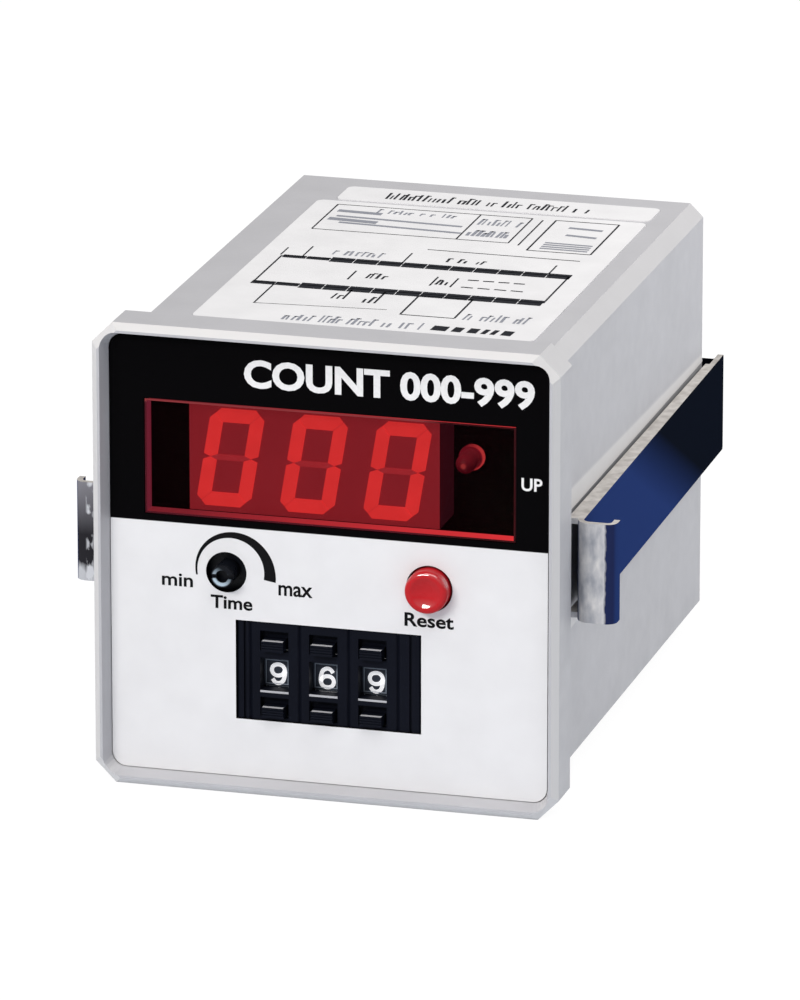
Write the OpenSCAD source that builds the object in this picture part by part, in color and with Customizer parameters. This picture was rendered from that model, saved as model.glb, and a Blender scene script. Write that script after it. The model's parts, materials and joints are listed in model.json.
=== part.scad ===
// Panel counter with a three-digit display and a pushwheel preset switch.
// X is to the right, Y runs rearwards through the panel, Z is up.
// The origin is the centre of the panel cut-out, on the bezel's rear face.

/* [Bezel] */
// Outer width and height of the bezel
bezel_size = 72; // [71:0.5:76]
// Depth of the bezel in front of the panel
bezel_depth = 7.6; // [6.6:0.2:10]
// Cut of the bezel's outer corners
bezel_corner = 3.2; // [2:0.2:4.5]
// Bevel along the front outer edge
bezel_bevel = 1; // [0.3:0.1:1.2]
// Flat width of the front rim
rim_width = 1.4; // [1:0.1:1.8]
// Slope of the rim's inner wall, measured across the front
rim_draft = 0.7; // [0.4:0.1:0.9]
// Depth of the fascia behind the rim
fascia_recess = 2.5; // [1.5:0.1:3]
// Thickness of the fascia plate
fascia_t = 1.5; // [1:0.1:1.8]
// Corner radius of the fascia
fascia_corner = 2.2; // [1:0.1:3]
// Clearance of the fascia in the bezel
fascia_clear = 0.1; // [0.05:0.05:0.2]

/* [Body] */
// Width and height of the body behind the panel
body_size = 67; // [66:0.25:68]
// Depth of the body behind the panel
body_depth = 90.5; // [88:0.5:110]
// Cut of the body's long edges
body_corner = 2.1; // [1.5:0.1:3]
// Wall thickness
wall = 2; // [1.6:0.1:2.4]
// Clearance of pieces that drop into the body
drop_clear = 0.2; // [0.1:0.05:0.3]

/* [Display] */
// Width of the display window
window_w = 57.4; // [54:0.2:60]
// Height of the display window
window_h = 18; // [17.4:0.2:18.6]
// Centre of the window, across
window_x = 0.2; // [-1:0.1:1]
// Centre of the window, up
window_z = 15.2; // [15:0.1:16]
// Clearance of the window pane in the fascia
window_clear = 0.1; // [0.05:0.05:0.2]
// Width of the pane's lip behind the fascia
window_lip = 1.2; // [0.8:0.1:1.5]
// Thickness of the pane's lip
window_lip_t = 1; // [0.8:0.1:1.2]
// Spacing of the digits
digit_pitch = 12.9; // [12:0.1:13]
// Height of a digit
digit_h = 15.2; // [13:0.1:15.4]
// Width of a digit
digit_w = 8.4; // [7.5:0.1:9]
// Stroke of a segment
segment_w = 2.1; // [1.6:0.1:2.3]
// Slant of the digits in degrees
digit_slant = 9.5; // [0:0.5:12]
// Depth of the segments in front of the block
segment_t = 0.25; // [0.2:0.05:0.3]
// Centre of the display block, across
block_x = -3; // [-5:0.5:0]
// Centre of the display block, up
block_z = 15; // [14.5:0.1:15.5]
// Height of the display block
block_h = 17; // [16:0.1:17.4]
// Depth of the display block
block_depth = 8; // [7:0.1:8.4]
// Clear space between the window and the lit parts behind it
display_gap = 0.35; // [0.2:0.05:1]
// Indicator lamp, across
led_x = 20; // [19.5:0.5:24]
// Indicator lamp, up
led_z = 16.6; // [13:0.2:18]
// Diameter of the indicator lamp
led_d = 3; // [2.6:0.1:3.4]
// Length of the indicator lamp with its collar
led_length = 5.4; // [4.5:0.1:5.6]

/* [Reset button] */
// Diameter of the reset cap
reset_d = 6.6; // [5:0.1:7.5]
// Reset cap, across
reset_x = 15.6; // [13:0.2:18]
// Reset cap, up
reset_z = -1.9; // [-2.5:0.05:-1]
// Height of the cap in front of the fascia
reset_proud = 2.4; // [1.6:0.1:2.4]
// Travel of the cap
reset_travel = 1; // [0.6:0.1:1.2]
// Gap round the cap
reset_clear = 0.3; // [0.2:0.05:0.4]
// Diameter of the plunger under the cap
plunger_d = 3.4; // [2.8:0.1:3.6]
// Width of the push switch
tact_w = 6; // [5.5:0.1:7]
// Depth of the push switch
tact_depth = 4; // [3.6:0.1:4.4]

/* [Time control] */
// Diameter of the hole round the trimmer shaft
time_hole_d = 6.3; // [5.8:0.1:7]
// Trimmer shaft, across
time_x = -15.8; // [-18:0.2:-14]
// Trimmer shaft, up
time_z = -1.95; // [-2.5:0.05:-1]
// Diameter of the shaft's tip
shaft_d = 3.4; // [2.8:0.1:3.8]
// Length of the tip in front of the fascia
shaft_proud = 2.4; // [1.5:0.1:3]
// Diameter of the hollow in the tip
shaft_hollow_d = 2; // [1.4:0.1:2.2]
// Diameter of the knob's skirt behind the fascia
skirt_d = 7.4; // [7.2:0.1:8]
// Width of the trimmer body
trimmer_w = 9.4; // [9:0.1:10]
// Depth of the trimmer body
trimmer_depth = 5; // [4.5:0.1:5.4]
// Running clearance of the shaft
run_clear = 0.08; // [0.04:0.01:0.1]

/* [Pushwheel switch] */
// Width of one switch case
case_w = 7.62; // [7.5:0.01:8]
// Height of the noses in the fascia
nose_h = 15.3; // [15.2:0.1:16]
// Height of the cases behind the fascia
case_h = 17.4; // [17.2:0.1:18]
// Depth of the cases behind the fascia
case_depth = 25.4; // [24:0.2:28]
// Depth of the noses behind the fascia's front face
nose_recess = 0.3; // [0.2:0.1:0.6]
// Wall of a switch case
case_wall = 0.9; // [0.7:0.05:0.95]
// Width of the left end plate
end_left_w = 2.1; // [1.8:0.1:3]
// Width of the right end plate
end_right_w = 3.6; // [2.4:0.1:4]
// Centre of the switch, up
switch_z = -17; // [-17.2:0.05:-16.6]
// Clearance of the switch in the fascia
switch_clear = 0.1; // [0.05:0.05:0.2]
// Distance from a number wheel's axis to its flats
wheel_flat = 6.3; // [6:0.05:6.4]
// Width of a number wheel
wheel_w = 4; // [3.6:0.1:4]
// Depth of the flats behind the noses
wheel_recess = 2.7; // [2.6:0.1:3.6]
// Wheel axis above the switch's centre
wheel_rise = -0.9; // [-1:0.05:-0.3]
// Number window's centre above the switch's centre
opening_rise = -0.5; // [-0.7:0.05:-0.4]
// Height of a number window
opening_h = 5.1; // [4.8:0.1:5.4]
// Radius of the ratchet
ratchet_r = 3.5; // [3:0.1:3.5]
// Diameter of the axle stub in each case
axle_d = 3.2; // [2.6:0.1:3.4]
// Width of a key
key_w = 3.4; // [3:0.1:3.8]
// Height of a key
key_h = 1.6; // [1.4:0.05:1.7]
// Height of a key in front of the nose
key_proud = 1.2; // [0.8:0.1:1.4]
// Travel of a key
key_travel = 1.2; // [0.8:0.1:1.4]
// Upper key above the switch's centre
plus_rise = 4.2; // [3.9:0.05:4.4]
// Lower key below the switch's centre
minus_drop = 6.2; // [6:0.05:6.3]

/* [Clips] */
// Height of a clip
clip_h = 15.5; // [14:0.5:18]
// Sheet thickness of a clip
clip_t = 0.9; // [0.7:0.1:1.2]
// Reach of the front foot from the body's side
clip_reach = 8.5; // [8:0.5:12]
// Gap left for the panel
panel_gap = 2.9; // [2.5:0.1:6]
// Clip's distance from the body at the front
clip_stand_front = 2.3; // [1.6:0.1:3]
// Clip's distance from the body at the rear
clip_stand_rear = 1.3; // [1:0.1:2]
// Length of the clip behind the body
clip_overhang = 7.2; // [5:0.2:10]
// Inner radius of the bends
bend_r = 1.2; // [0.8:0.1:1.4]
// Inner radius of the foot's outer bend
roll_r = 0.7; // [0.5:0.1:2.5]
// Length of the foot's turned-back edge
roll_return = 1.3; // [1:0.1:3]
// Cut across the rear corners of a clip
clip_corner = 2; // [1:0.1:3]
// Length of the rear finger hook
hook_length = 2.4; // [1.5:0.1:3]
// Forward travel of a clip from its stored place
clip_forward = 2.6; // [1:0.1:2.6]
// Rearward travel of a clip to its keyhole
clip_back = 18; // [12:0.5:20]
// Clearance between clip and body
clip_clear = 0.3; // [0.25:0.05:0.5]
// Place of the clip's tongue behind the panel
tongue_y = 50; // [40:1:54]
// Length of the tongue
tongue_length = 6; // [4:0.5:8]
// Height of the tongue's neck
tongue_neck = 2.4; // [2:0.2:4]
// Height of the tongue's head
tongue_head = 5.6; // [4.6:0.2:7]

/* [Boards] */
// Thickness of the printed boards
board_t = 1.6; // [1.2:0.1:1.8]
// Upper face of the main board
main_board_z = -20; // [-21:0.2:-19]
// Front edge of the main board
main_board_y = 30; // [29:0.5:34]
// Width of the board ledges
ledge_w = 1.8; // [1.2:0.1:2.2]
// Diameter of the board screws
board_screw_d = 2; // [1.8:0.1:2.4]
// Width of the transformer
core_w = 28; // [24:1:30]
// Height of the transformer
core_h = 24; // [22:1:28]
// Stack of the transformer
core_stack = 14; // [12:1:18]
// Clear space between parts on the main board
part_gap = 1; // [0.5:0.1:1.5]
// Width of the relay
relay_w = 15.5; // [12:0.5:17]
// Length of the relay
relay_length = 19; // [16:0.5:22]
// Height of the relay
relay_h = 15.2; // [10:0.2:20]
// Diameter of the large capacitor
cap_d = 10; // [8:0.5:11]
// Height of the large capacitor
cap_h = 16; // [12:0.5:16]
// Diameter of the small capacitors
small_cap_d = 8; // [6:0.5:9]
// Height of the small capacitors
small_cap_h = 12; // [10:0.5:16]
// Width of the counter chip
chip_w = 7; // [6.5:0.5:10]
// Length of the counter chip
chip_length = 20; // [16:0.5:24]
// Thickness of the counter chip
chip_t = 3.4; // [3:0.1:4]
// Width of the flat cable
ribbon_w = 20; // [12:0.5:22]
// Thickness of the flat cable
ribbon_t = 1; // [0.8:0.1:1.4]

/* [Terminals] */
// Terminals in each row
terminals = 6; // [4:1:6]
// Spacing of the terminals
terminal_pitch = 9; // [8.6:0.1:9.2]
// Thickness of the barriers
barrier_t = 1.2; // [1:0.1:1.4]
// Height of a terminal strip
strip_h = 14; // [13:0.5:14.5]
// Centre of each strip above or below the middle
strip_z = 17.5; // [16.5:0.25:17.75]
// Height of the barriers behind the rear cover
barrier_proud = 6.6; // [6:0.1:7]
// Thickness of the rear cover
cover_t = 3.8; // [3:0.1:4]
// Depth of the cover behind the body's rear edge
cover_sink = 0.2; // [0.1:0.1:0.5]
// Diameter of the terminal screw heads
terminal_head_d = 6.2; // [5.6:0.1:6.4]
// Thickness of the terminal screw heads
terminal_head_t = 2.1; // [1.8:0.1:2.3]
// Diameter of the terminal screw shanks
terminal_screw_d = 3.4; // [3:0.1:3.6]
// Width of the clamp plates
clamp_w = 7; // [6.6:0.1:7.1]
// Thickness of the clamp plates
clamp_t = 0.9; // [0.7:0.1:1]
// Diameter of the cover screws
cover_screw_d = 2.8; // [2.4:0.1:3]
// Length of the cover screws
cover_screw_length = 12; // [8:0.5:14]

/* [Labels] */
// Width of the top label
label_w = 53; // [48:0.5:56]
// Length of the top label
label_length = 68.7; // [60:0.5:70]
// Front edge of the top label behind the panel
label_y = 7.9; // [6:0.1:9]
// Centre of the labels, across
label_x = 1.5; // [0:0.1:3]
// Width of the strip label
strip_label_w = 50.5; // [46:0.5:54]
// Length of the strip label
strip_label_length = 7.8; // [6:0.1:8]
// Gap between the two labels
label_gap = 1.1; // [0.5:0.1:2]
// Corner radius of the labels
label_corner = 1.2; // [0.6:0.1:2]
// Thickness of the labels
label_t = 0.15; // [0.1:0.01:0.2]

/* [Hidden] */
$fn = 48;
// Overlap that lets a cut pass through a face
cut = 1;
// Overlap that fuses shapes of one piece
fuse = 0.2;

// Half widths of the case and depths in the bezel
bezel_half = bezel_size / 2;
body_half = body_size / 2;
inner_half = body_half - wall;
front_y = -bezel_depth;
fascia_y = front_y + fascia_recess;
fascia_back = fascia_y + fascia_t;
seat_half = bezel_half - rim_width - rim_draft;
fascia_half = seat_half - fascia_clear;

// Display: block, segments and lamp
window_back = fascia_back + window_lip_t;
block_w = 3 * digit_pitch;
block_y = window_back + display_gap + segment_t;
display_board_y = block_y + block_depth;
segment_gap = 0.05;
segment_corner = 1.5;
middle_half = 0.42;
led_tip_y = window_back + display_gap;
led_collar_t = 0.8;
led_flange = 0.45;
led_collar_d = led_d + 2 * led_flange;
led_lead = 0.5;

// Reset cap, its collar and the push switch
reset_hole_d = reset_d + 2 * reset_clear;
reset_flange = 0.8;
reset_collar_d = reset_hole_d + 2 * reset_flange;
reset_collar_t = 1;
reset_edge = 0.9;
reset_seat = 0.1;
reset_front = fascia_y - reset_proud;
tact_y = display_board_y - tact_depth;
plunger_stub = 0.6;
plunger_y = tact_y - reset_travel - plunger_stub;
socket_floor = 0.8;
socket_room = 0.3;
plunger_in = tact_depth - socket_floor - reset_travel;

// Trimmer shaft, its skirt and its socket
trimmer_y = display_board_y - trimmer_depth;
rotor_d = shaft_d;
rotor_in = trimmer_depth - socket_floor - socket_room;
skirt_t = 1.2;
skirt_gap = 0.3;
skirt_y = fascia_back + skirt_gap;
shaft_front = fascia_y - shaft_proud;
hollow_depth = 1.4;
slot_w = 0.7;

// Pushwheel switch: cases, openings, wheels and keys
stack_w = end_left_w + 3 * case_w + end_right_w;
stack_left = -stack_w / 2;
nose_y = fascia_y + nose_recess;
nose_t = fascia_back + fuse - nose_y;
nose_half = nose_h / 2;
case_half = case_h / 2;
case_y = fascia_back;
case_back = case_y + case_depth;
rim_t = 0.7;
rim_reach = 0.45;
opening_left = 1.5;
opening_w = 4.4;
opening_above = 1.3;
opening_below = 0.3;
nose_edge = 0.3;
end_groove = 0.4;
collar_t = 0.5;
side_gap = 0.4;
wheel_left = case_wall + side_gap;
wheel_y = nose_y + wheel_recess + wheel_flat;
wheel_sides = 10;
wheel_corner = wheel_flat / cos(180 / wheel_sides);
ratchet_w = 0.7;
ratchet_tooth = 0.7;
axle_gap = 0.1;
ratchet_left = wheel_left + wheel_w;
lane_left = ratchet_left + ratchet_w + side_gap;
lane_w = case_w - lane_left - side_gap;
key_seat = 0.05;
shoulder_y = nose_y + nose_t + key_seat;
shoulder_t = 0.7;
shoulder_over = 0.5;
shoulder_left = opening_left - shoulder_over;
arm_length = wheel_y - shoulder_y;
key_left = opening_left + (opening_w - key_w) / 2;
grip_grooves = 3;
grip_depth = 0.15;
pawl_gap = 0.35;
pawl_lead = 0.4;
pawl_length = key_travel + pawl_lead;
contact_t = 1;
contact_left = (case_w + case_wall - contact_t) / 2;
contact_gap = 0.5;
contact_y = wheel_y + wheel_corner + contact_gap;
contact_out = 5;
contact_clear = 0.1;

// Clips, their slots and their guide ribs
clip_half = clip_h / 2;
foot_turn_y = panel_gap + clip_t + bend_r;
hook_turn_y = body_depth + clip_overhang - clip_t - bend_r;
lip_short = 0.5;
lip_gap = 0.7;
lip_end_y = body_depth - lip_short;
head_in = wall + clip_clear;
slot_start = tongue_y - clip_forward - clip_clear;
keyhole_y = tongue_y + clip_back - clip_clear;
keyhole_end = keyhole_y + tongue_length + 2 * clip_clear;
rib_gap = 0.35;
rib_start = 0.2;
rib_y = panel_gap + rib_start;
rib_proud = 0.45;
rib_h_front = 3.4;
rib_h_rear = 1.6;

// Front board, its bosses and screws
board_half = inner_half - drop_clear;
board_gap = 0.4;
display_board_bottom = switch_z + case_half + board_gap;
display_board_top = board_half - body_corner;
boss_in = 3.5;
boss_x = inner_half - boss_in;
boss_half = 3.2;
boss_depth = 7;
boss_end = display_board_y + board_t + boss_depth;
boss_floor = 1;
boss_low_z = display_board_bottom + boss_half;
boss_high_z = display_board_top - boss_half;
board_screw_head_d = 4.2;
board_screw_head_t = 1.5;
board_screw_length = 5;
screw_play = 0.3;
thread_clear = 0.05;
stop_rib_w = 3;
stop_rib_t = 2;
stop_rib_gap = 0.1;

// Rear cover, terminal strips and cover screws
cover_back = body_depth - cover_sink;
cover_front = cover_back - cover_t;
rear_board_y = cover_front - board_t;
main_board_end = rear_board_y - drop_clear;
strip_half_w = (terminals * terminal_pitch + barrier_t) / 2;
strip_sink = 0.8;
strip_floor = cover_back - strip_sink;
strip_base = 0.8;
screw_room = 0.4;
strip_end = cover_back + barrier_proud;
strip_clear = 0.1;
cover_boss_r = 4.5;
cover_boss_in = 3.4;
cover_boss_at = inner_half - cover_boss_in;
cover_boss_length = 20;
cover_head_d = 5.2;
cover_head_t = 1.8;
cover_screw_room = 2;
// Corner cut that clears the posts of the rear cover
rear_board_corner = 2 * (board_half - cover_boss_at) + sqrt(2) * (cover_boss_r + 1.5 * drop_clear);

// Parts on the main board
core_leg = core_w / 3.5;
core_window_w = (core_w - 2 * core_leg) / 2 - core_leg / 4;
core_edge = 5;
core_x = -inner_half + core_edge + core_w / 2;
core_yoke = 5;
coil_gap = 0.15;
coil_over = 4;
core_y = main_board_end - 2 * part_gap - coil_over - core_stack / 2;
relay_x = core_x + core_w / 2 + 6 * part_gap;
relay_y = main_board_end - relay_length - 2 * part_gap;
chip_lift = 0.7;
chip_x = core_x - core_w / 4 - chip_w / 2;
chip_y = main_board_y + 2 * part_gap;
chip_leg = 0.5;
chip_legs = 8;
ribbon_x = 6;
ribbon_z = 4;
ribbon_bend = 2;
header_h = 5;
header_t = 4;
cap_x = ribbon_x + ribbon_w / 2 + part_gap + cap_d / 2;
cap_y = main_board_y + part_gap + cap_d / 2;
small_cap_y = cap_y + cap_d / 2 + part_gap + small_cap_d / 2;
crimp_at = 1.6;
crimp_half = 0.4;

// Facets in a rounded corner of an outline
corner_steps = 6;
// Degrees between the facets of the cap's rounded edge
edge_turn = 15;
// Overlap that joins the bends of a strip
bend_fuse = 0.01;

// Square outline with cut corners, in X and Z
module cut_square(half, corner) {
    polygon([
        [-half + corner, -half], [half - corner, -half], [half, -half + corner],
        [half, half - corner], [half - corner, half], [-half + corner, half],
        [-half, half - corner], [-half, -half + corner]
    ]);
}

// Rectangle with rounded corners
module round_rect(half_w, half_h, r) {
    polygon([for (q = [0:3], k = [0:corner_steps])
        let (turn = 90 * (q + k / corner_steps), side = 90 * q + 45)
        [sign(cos(side)) * (half_w - r) + r * cos(turn),
         sign(sin(side)) * (half_h - r) + r * sin(turn)]]);
}

// Carries an outline in X and Z from one depth to another
module along_y(from, to) {
    translate([0, to, 0]) rotate([90, 0, 0]) linear_extrude(to - from) children();
}

// Carries an outline forwards from one depth to another while it grows or shrinks by a ratio
module flared(from, to, ratio) {
    translate([0, to, 0]) rotate([90, 0, 0]) linear_extrude(to - from, scale = ratio) children();
}

// Round bar along Y
module bar_y(d, from, to) {
    translate([0, from, 0]) rotate([-90, 0, 0]) cylinder(d = d, h = to - from);
}

// Block between two corners
module block(low, high) {
    translate(low) cube(high - low);
}

// Repeats a piece on the left and right sides
module both_sides() {
    children();
    mirror([1, 0, 0]) children();
}

// Wedge on the body's side that keeps a clip level; its slope thins towards the rear
module guide_rib() {
    z0 = clip_half + rib_gap;
    sink = body_half - fuse;
    heights = [[rib_y, rib_h_front], [lip_end_y, rib_h_rear]];
    points = [for (h = heights)
        let (proud = rib_proud * h[1] / rib_h_front)
        each [[sink, h[0], z0], [body_half + proud, h[0], z0],
              [body_half, h[0], z0 + h[1]], [sink, h[0], z0 + h[1]]]];
    polyhedron(points, [
        [3, 2, 1, 0], [4, 5, 6, 7], [0, 1, 5, 4], [1, 2, 6, 5], [2, 3, 7, 6], [3, 0, 4, 7]
    ]);
}

// Boss on a side wall for a screw of the display board
module board_boss(z) {
    block([boss_x - boss_half, boss_end - boss_depth, z - boss_half],
          [inner_half + fuse, boss_end, z + boss_half]);
}

// Rounded post in a rear corner for a screw of the rear cover
module cover_boss() {
    for (z = [-cover_boss_at, cover_boss_at])
        translate([cover_boss_at, 0, z])
            bar_y(2 * cover_boss_r, cover_front - cover_boss_length, cover_front);
}

// Slot in a side wall for a clip's tongue, with a keyhole at its rear end
module tongue_slot() {
    neck = tongue_neck / 2 + clip_clear;
    head = tongue_head / 2 + clip_clear;
    block([inner_half - cut, slot_start, -neck], [body_half + cut, keyhole_y + cut, neck]);
    block([inner_half - cut, keyhole_y, -head], [body_half + cut, keyhole_end, head]);
}

module housing_outside() {
    flared(front_y, front_y + bezel_bevel, 1 - bezel_bevel / bezel_half)
        cut_square(bezel_half, bezel_corner);
    along_y(front_y + bezel_bevel, 0) cut_square(bezel_half, bezel_corner);
    along_y(-cut, body_depth) cut_square(body_half, body_corner);
}

module housing_inside() {
    flare = rim_draft * (fascia_recess + cut) / fascia_recess;
    flared(front_y - cut, fascia_y, 1 + flare / seat_half)
        round_rect(seat_half, seat_half, fascia_corner);
    along_y(fascia_y, fascia_back) round_rect(seat_half, seat_half, fascia_corner);
    along_y(fascia_back - cut, body_depth + cut) cut_square(inner_half, body_corner);
}

module housing() {
    color([0.75, 0.74, 0.73]) {
        difference() {
            union() {
                difference() {
                    housing_outside();
                    housing_inside();
                    both_sides() tongue_slot();
                }
                both_sides() {
                    guide_rib();
                    mirror([0, 0, 1]) guide_rib();
                    board_boss(boss_low_z);
                    board_boss(boss_high_z);
                    intersection() {
                        cover_boss();
                        along_y(0, body_depth) cut_square(body_half - fuse, body_corner);
                    }
                    block([inner_half - ledge_w, main_board_y, main_board_z - 2 * board_t],
                          [inner_half + fuse, main_board_end, main_board_z - board_t]);
                    block([-stack_left - stop_rib_w, case_back + stop_rib_gap, -inner_half - fuse],
                          [-stack_left, case_back + stop_rib_gap + stop_rib_t, switch_z]);
                }
            }
            for (x = [-boss_x, boss_x], z = [boss_low_z, boss_high_z])
                translate([x, 0, z])
                    bar_y(board_screw_d, display_board_y, boss_end - boss_floor);
            for (x = [-cover_boss_at, cover_boss_at], z = [-cover_boss_at, cover_boss_at])
                translate([x, 0, z])
                    bar_y(cover_screw_d, cover_front - cover_screw_length, cover_front + cut);
        }
    }
}

module fascia_plate() {
    color([0.92, 0.92, 0.91]) difference() {
        along_y(fascia_y, fascia_back) round_rect(fascia_half, fascia_half, fascia_corner);
        translate([window_x, 0, window_z])
            along_y(fascia_y - cut, fascia_back + cut) square([window_w, window_h], center = true);
        translate([0, 0, switch_z])
            along_y(fascia_y - cut, fascia_back + cut)
                square([stack_w + 2 * switch_clear, nose_h + 2 * switch_clear], center = true);
        translate([time_x, 0, time_z]) bar_y(time_hole_d, fascia_y - cut, fascia_back + cut);
        translate([reset_x, 0, reset_z]) bar_y(reset_hole_d, fascia_y - cut, fascia_back + cut);
    }
}

module display_window() {
    pane = [window_w - 2 * window_clear, window_h - 2 * window_clear];
    lip = [window_w + 2 * window_lip, window_h + 2 * window_lip];
    color([0.5, 0.05, 0.06, 0.6]) translate([window_x, 0, window_z]) {
        along_y(fascia_y + window_clear, fascia_back + fuse) square(pane, center = true);
        along_y(fascia_back, window_back) square(lip, center = true);
    }
}

module display_module() {
    color([0.4, 0.1, 0.11]) translate([block_x, 0, block_z])
        along_y(block_y, display_board_y) square([block_w, block_h], center = true);
}

// Leans a point of a digit by the slant
function lean(p) = [p[0] + p[1] * tan(digit_slant), p[1]];

// Upper segment: full width outside, mitred to the strokes at its ends
function top_points(hw, hh) = let (c = segment_corner, s = segment_w, g = segment_gap) [
    [-hw + c / 2 + g, hh - c / 2], [-hw + c, hh], [hw - c, hh], [hw - c / 2 - g, hh - c / 2],
    [hw - s - g, hh - s], [-hw + s + g, hh - s]
];

// Upper left segment: mitred at its top, pointed at the middle
function side_points(hw, hh) = let (c = segment_corner, s = segment_w, g = segment_gap) [
    [-hw, hh - c], [-hw + c / 2, hh - c / 2 - g], [-hw + s, hh - s - g],
    [-hw + s, middle_half + g], [-hw + s / 2, g], [-hw, middle_half + g]
];

// Middle segment: a thin bar with pointed ends
function middle_points(hw) = let (s = segment_w, g = 2 * segment_gap) [
    [-hw + s / 2 + g, 0], [-hw + s, middle_half], [hw - s, middle_half],
    [hw - s / 2 - g, 0], [hw - s, -middle_half], [-hw + s, -middle_half]
];

// Places an outline on each digit of the display
module on_digits() {
    for (i = [-1:1])
        translate([block_x + i * digit_pitch, 0, block_z])
            along_y(block_y - segment_t, block_y) children();
}

// Outline with its signs turned, then slanted
module segment(points, sx, sz) {
    polygon([for (p = points) lean([sx * p[0], sz * p[1]])]);
}

module digit_segments() {
    hw = digit_w / 2;
    hh = digit_h / 2;
    color([0.85, 0.17, 0.15]) on_digits() for (sz = [-1, 1]) {
        segment(top_points(hw, hh), 1, sz);
        for (sx = [-1, 1])
            segment(side_points(hw, hh), sx, sz);
    }
}

module middle_segments() {
    color([0.5, 0.12, 0.12]) on_digits() segment(middle_points(digit_w / 2), 1, 1);
}

module up_led() {
    r = led_d / 2;
    collar_y = led_tip_y + led_length;
    color([0.75, 0.1, 0.1]) translate([led_x, 0, led_z]) {
        translate([0, led_tip_y + r, 0]) sphere(r);
        bar_y(led_d, led_tip_y + r, collar_y);
        bar_y(led_collar_d, collar_y - led_collar_t, collar_y);
        for (x = [-led_d / 4, led_d / 4])
            block([x - led_lead / 2, collar_y - fuse, -led_lead / 2],
                  [x + led_lead / 2, display_board_y, led_lead / 2]);
    }
}

module reset_button() {
    r = reset_d / 2;
    neck_y = fascia_back + reset_seat;
    arc_y = reset_front + reset_edge;
    color([0.8, 0.16, 0.17]) translate([reset_x, 0, reset_z]) rotate([-90, 0, 0]) {
        rotate_extrude() polygon(concat(
            [[0, reset_front]],
            [for (a = [0:edge_turn:90])
                [r - reset_edge + reset_edge * sin(a), arc_y - reset_edge * cos(a)]],
            [[r, neck_y], [reset_collar_d / 2, neck_y],
             [reset_collar_d / 2, neck_y + reset_collar_t],
             [plunger_d / 2, neck_y + reset_collar_t], [plunger_d / 2, plunger_y], [0, plunger_y]]));
    }
}

module reset_plunger() {
    color([0.15, 0.15, 0.16]) translate([reset_x, 0, reset_z])
        bar_y(plunger_d, plunger_y, tact_y + plunger_in);
}

module reset_switch() {
    half = tact_w / 2;
    color([0.2, 0.2, 0.22]) translate([reset_x, 0, reset_z]) difference() {
        block([-half, tact_y, -half], [half, display_board_y, half]);
        bar_y(plunger_d + 2 * run_clear, tact_y - cut, tact_y + plunger_in + reset_travel + socket_room);
    }
}

module time_knob() {
    color([0.08, 0.08, 0.1]) translate([time_x, 0, time_z]) difference() {
        union() {
            bar_y(shaft_d, shaft_front, skirt_y + fuse);
            bar_y(skirt_d, skirt_y, skirt_y + skirt_t);
            bar_y(rotor_d, skirt_y + skirt_t - fuse, trimmer_y + rotor_in);
        }
        bar_y(shaft_hollow_d, shaft_front - cut, shaft_front + hollow_depth);
        block([-shaft_d, shaft_front - cut, -slot_w / 2],
              [shaft_d, shaft_front + hollow_depth / 2, slot_w / 2]);
    }
}

module time_trimmer() {
    half = trimmer_w / 2;
    color([0.12, 0.2, 0.45]) translate([time_x, 0, time_z]) difference() {
        block([-half, trimmer_y, -half], [half, display_board_y, half]);
        bar_y(rotor_d + 2 * run_clear, trimmer_y - cut, trimmer_y + rotor_in + socket_room);
    }
}

// Left side of a switch case, counted from 0
function case_x(i) = stack_left + end_left_w + i * case_w;

// Moves a switch piece into its case
module in_case(i) {
    translate([case_x(i), 0, switch_z]) children();
}

// Opening for a key: taller than the key, with most of the room above it
module key_opening(z) {
    block([opening_left, nose_y - cut, z - key_h / 2 - opening_below],
          [opening_left + opening_w, case_y + rim_t + cut, z + key_h / 2 + opening_above]);
}

// Nose of a switch piece: a plate with bevelled upright edges that part it from its neighbours
module nose(width) {
    back = nose_y + nose_t;
    translate([0, 0, -nose_half]) linear_extrude(nose_h) polygon([
        [0, nose_y + nose_edge], [nose_edge, nose_y], [width - nose_edge, nose_y],
        [width, nose_y + nose_edge], [width, back], [0, back]
    ]);
}

module pushwheel_frame(i) {
    inside = case_half - case_wall;
    opening_right = opening_left + opening_w;
    low = opening_rise - opening_h / 2;
    high = opening_rise + opening_h / 2;
    color([0.07, 0.08, 0.11]) in_case(i) {
        difference() {
            union() {
                nose(case_w);
                block([0, case_y, -case_half], [case_wall, case_back, case_half]);
                both_rows() {
                    block([0, case_y, inside], [case_w, case_back, case_half]);
                    block([0, case_y, nose_half - rim_reach], [case_w, case_y + rim_t, case_half]);
                }
                block([0, case_back - case_wall, -case_half], [case_w, case_back, case_half]);
                block([opening_left - collar_t, nose_y + nose_t - fuse, low - collar_t],
                      [opening_right + collar_t, nose_y + nose_t + collar_t, high + collar_t]);
            }
            key_opening(plus_rise);
            key_opening(-minus_drop);
            block([opening_left, nose_y - cut, low], [opening_right, nose_y + nose_t + cut, high]);
            block([contact_left - contact_clear, case_back - case_wall - cut, -inside + case_wall],
                  [contact_left + contact_t + contact_clear, case_back + cut, inside - case_wall]);
        }
        translate([0, wheel_y, wheel_rise]) rotate([0, 90, 0])
            cylinder(d = axle_d, h = lane_left - axle_gap);
    }
}

// End plate with an upright groove on its nose
module pushwheel_end(left, width) {
    color([0.07, 0.08, 0.11]) translate([left, 0, switch_z]) difference() {
        union() {
            nose(width);
            block([0, case_y, -case_half], [width, case_back, case_half]);
        }
        block([width / 2, nose_y - cut, -nose_half - cut],
              [width / 2 + end_groove, nose_y + end_groove, nose_half + cut]);
    }
}

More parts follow.
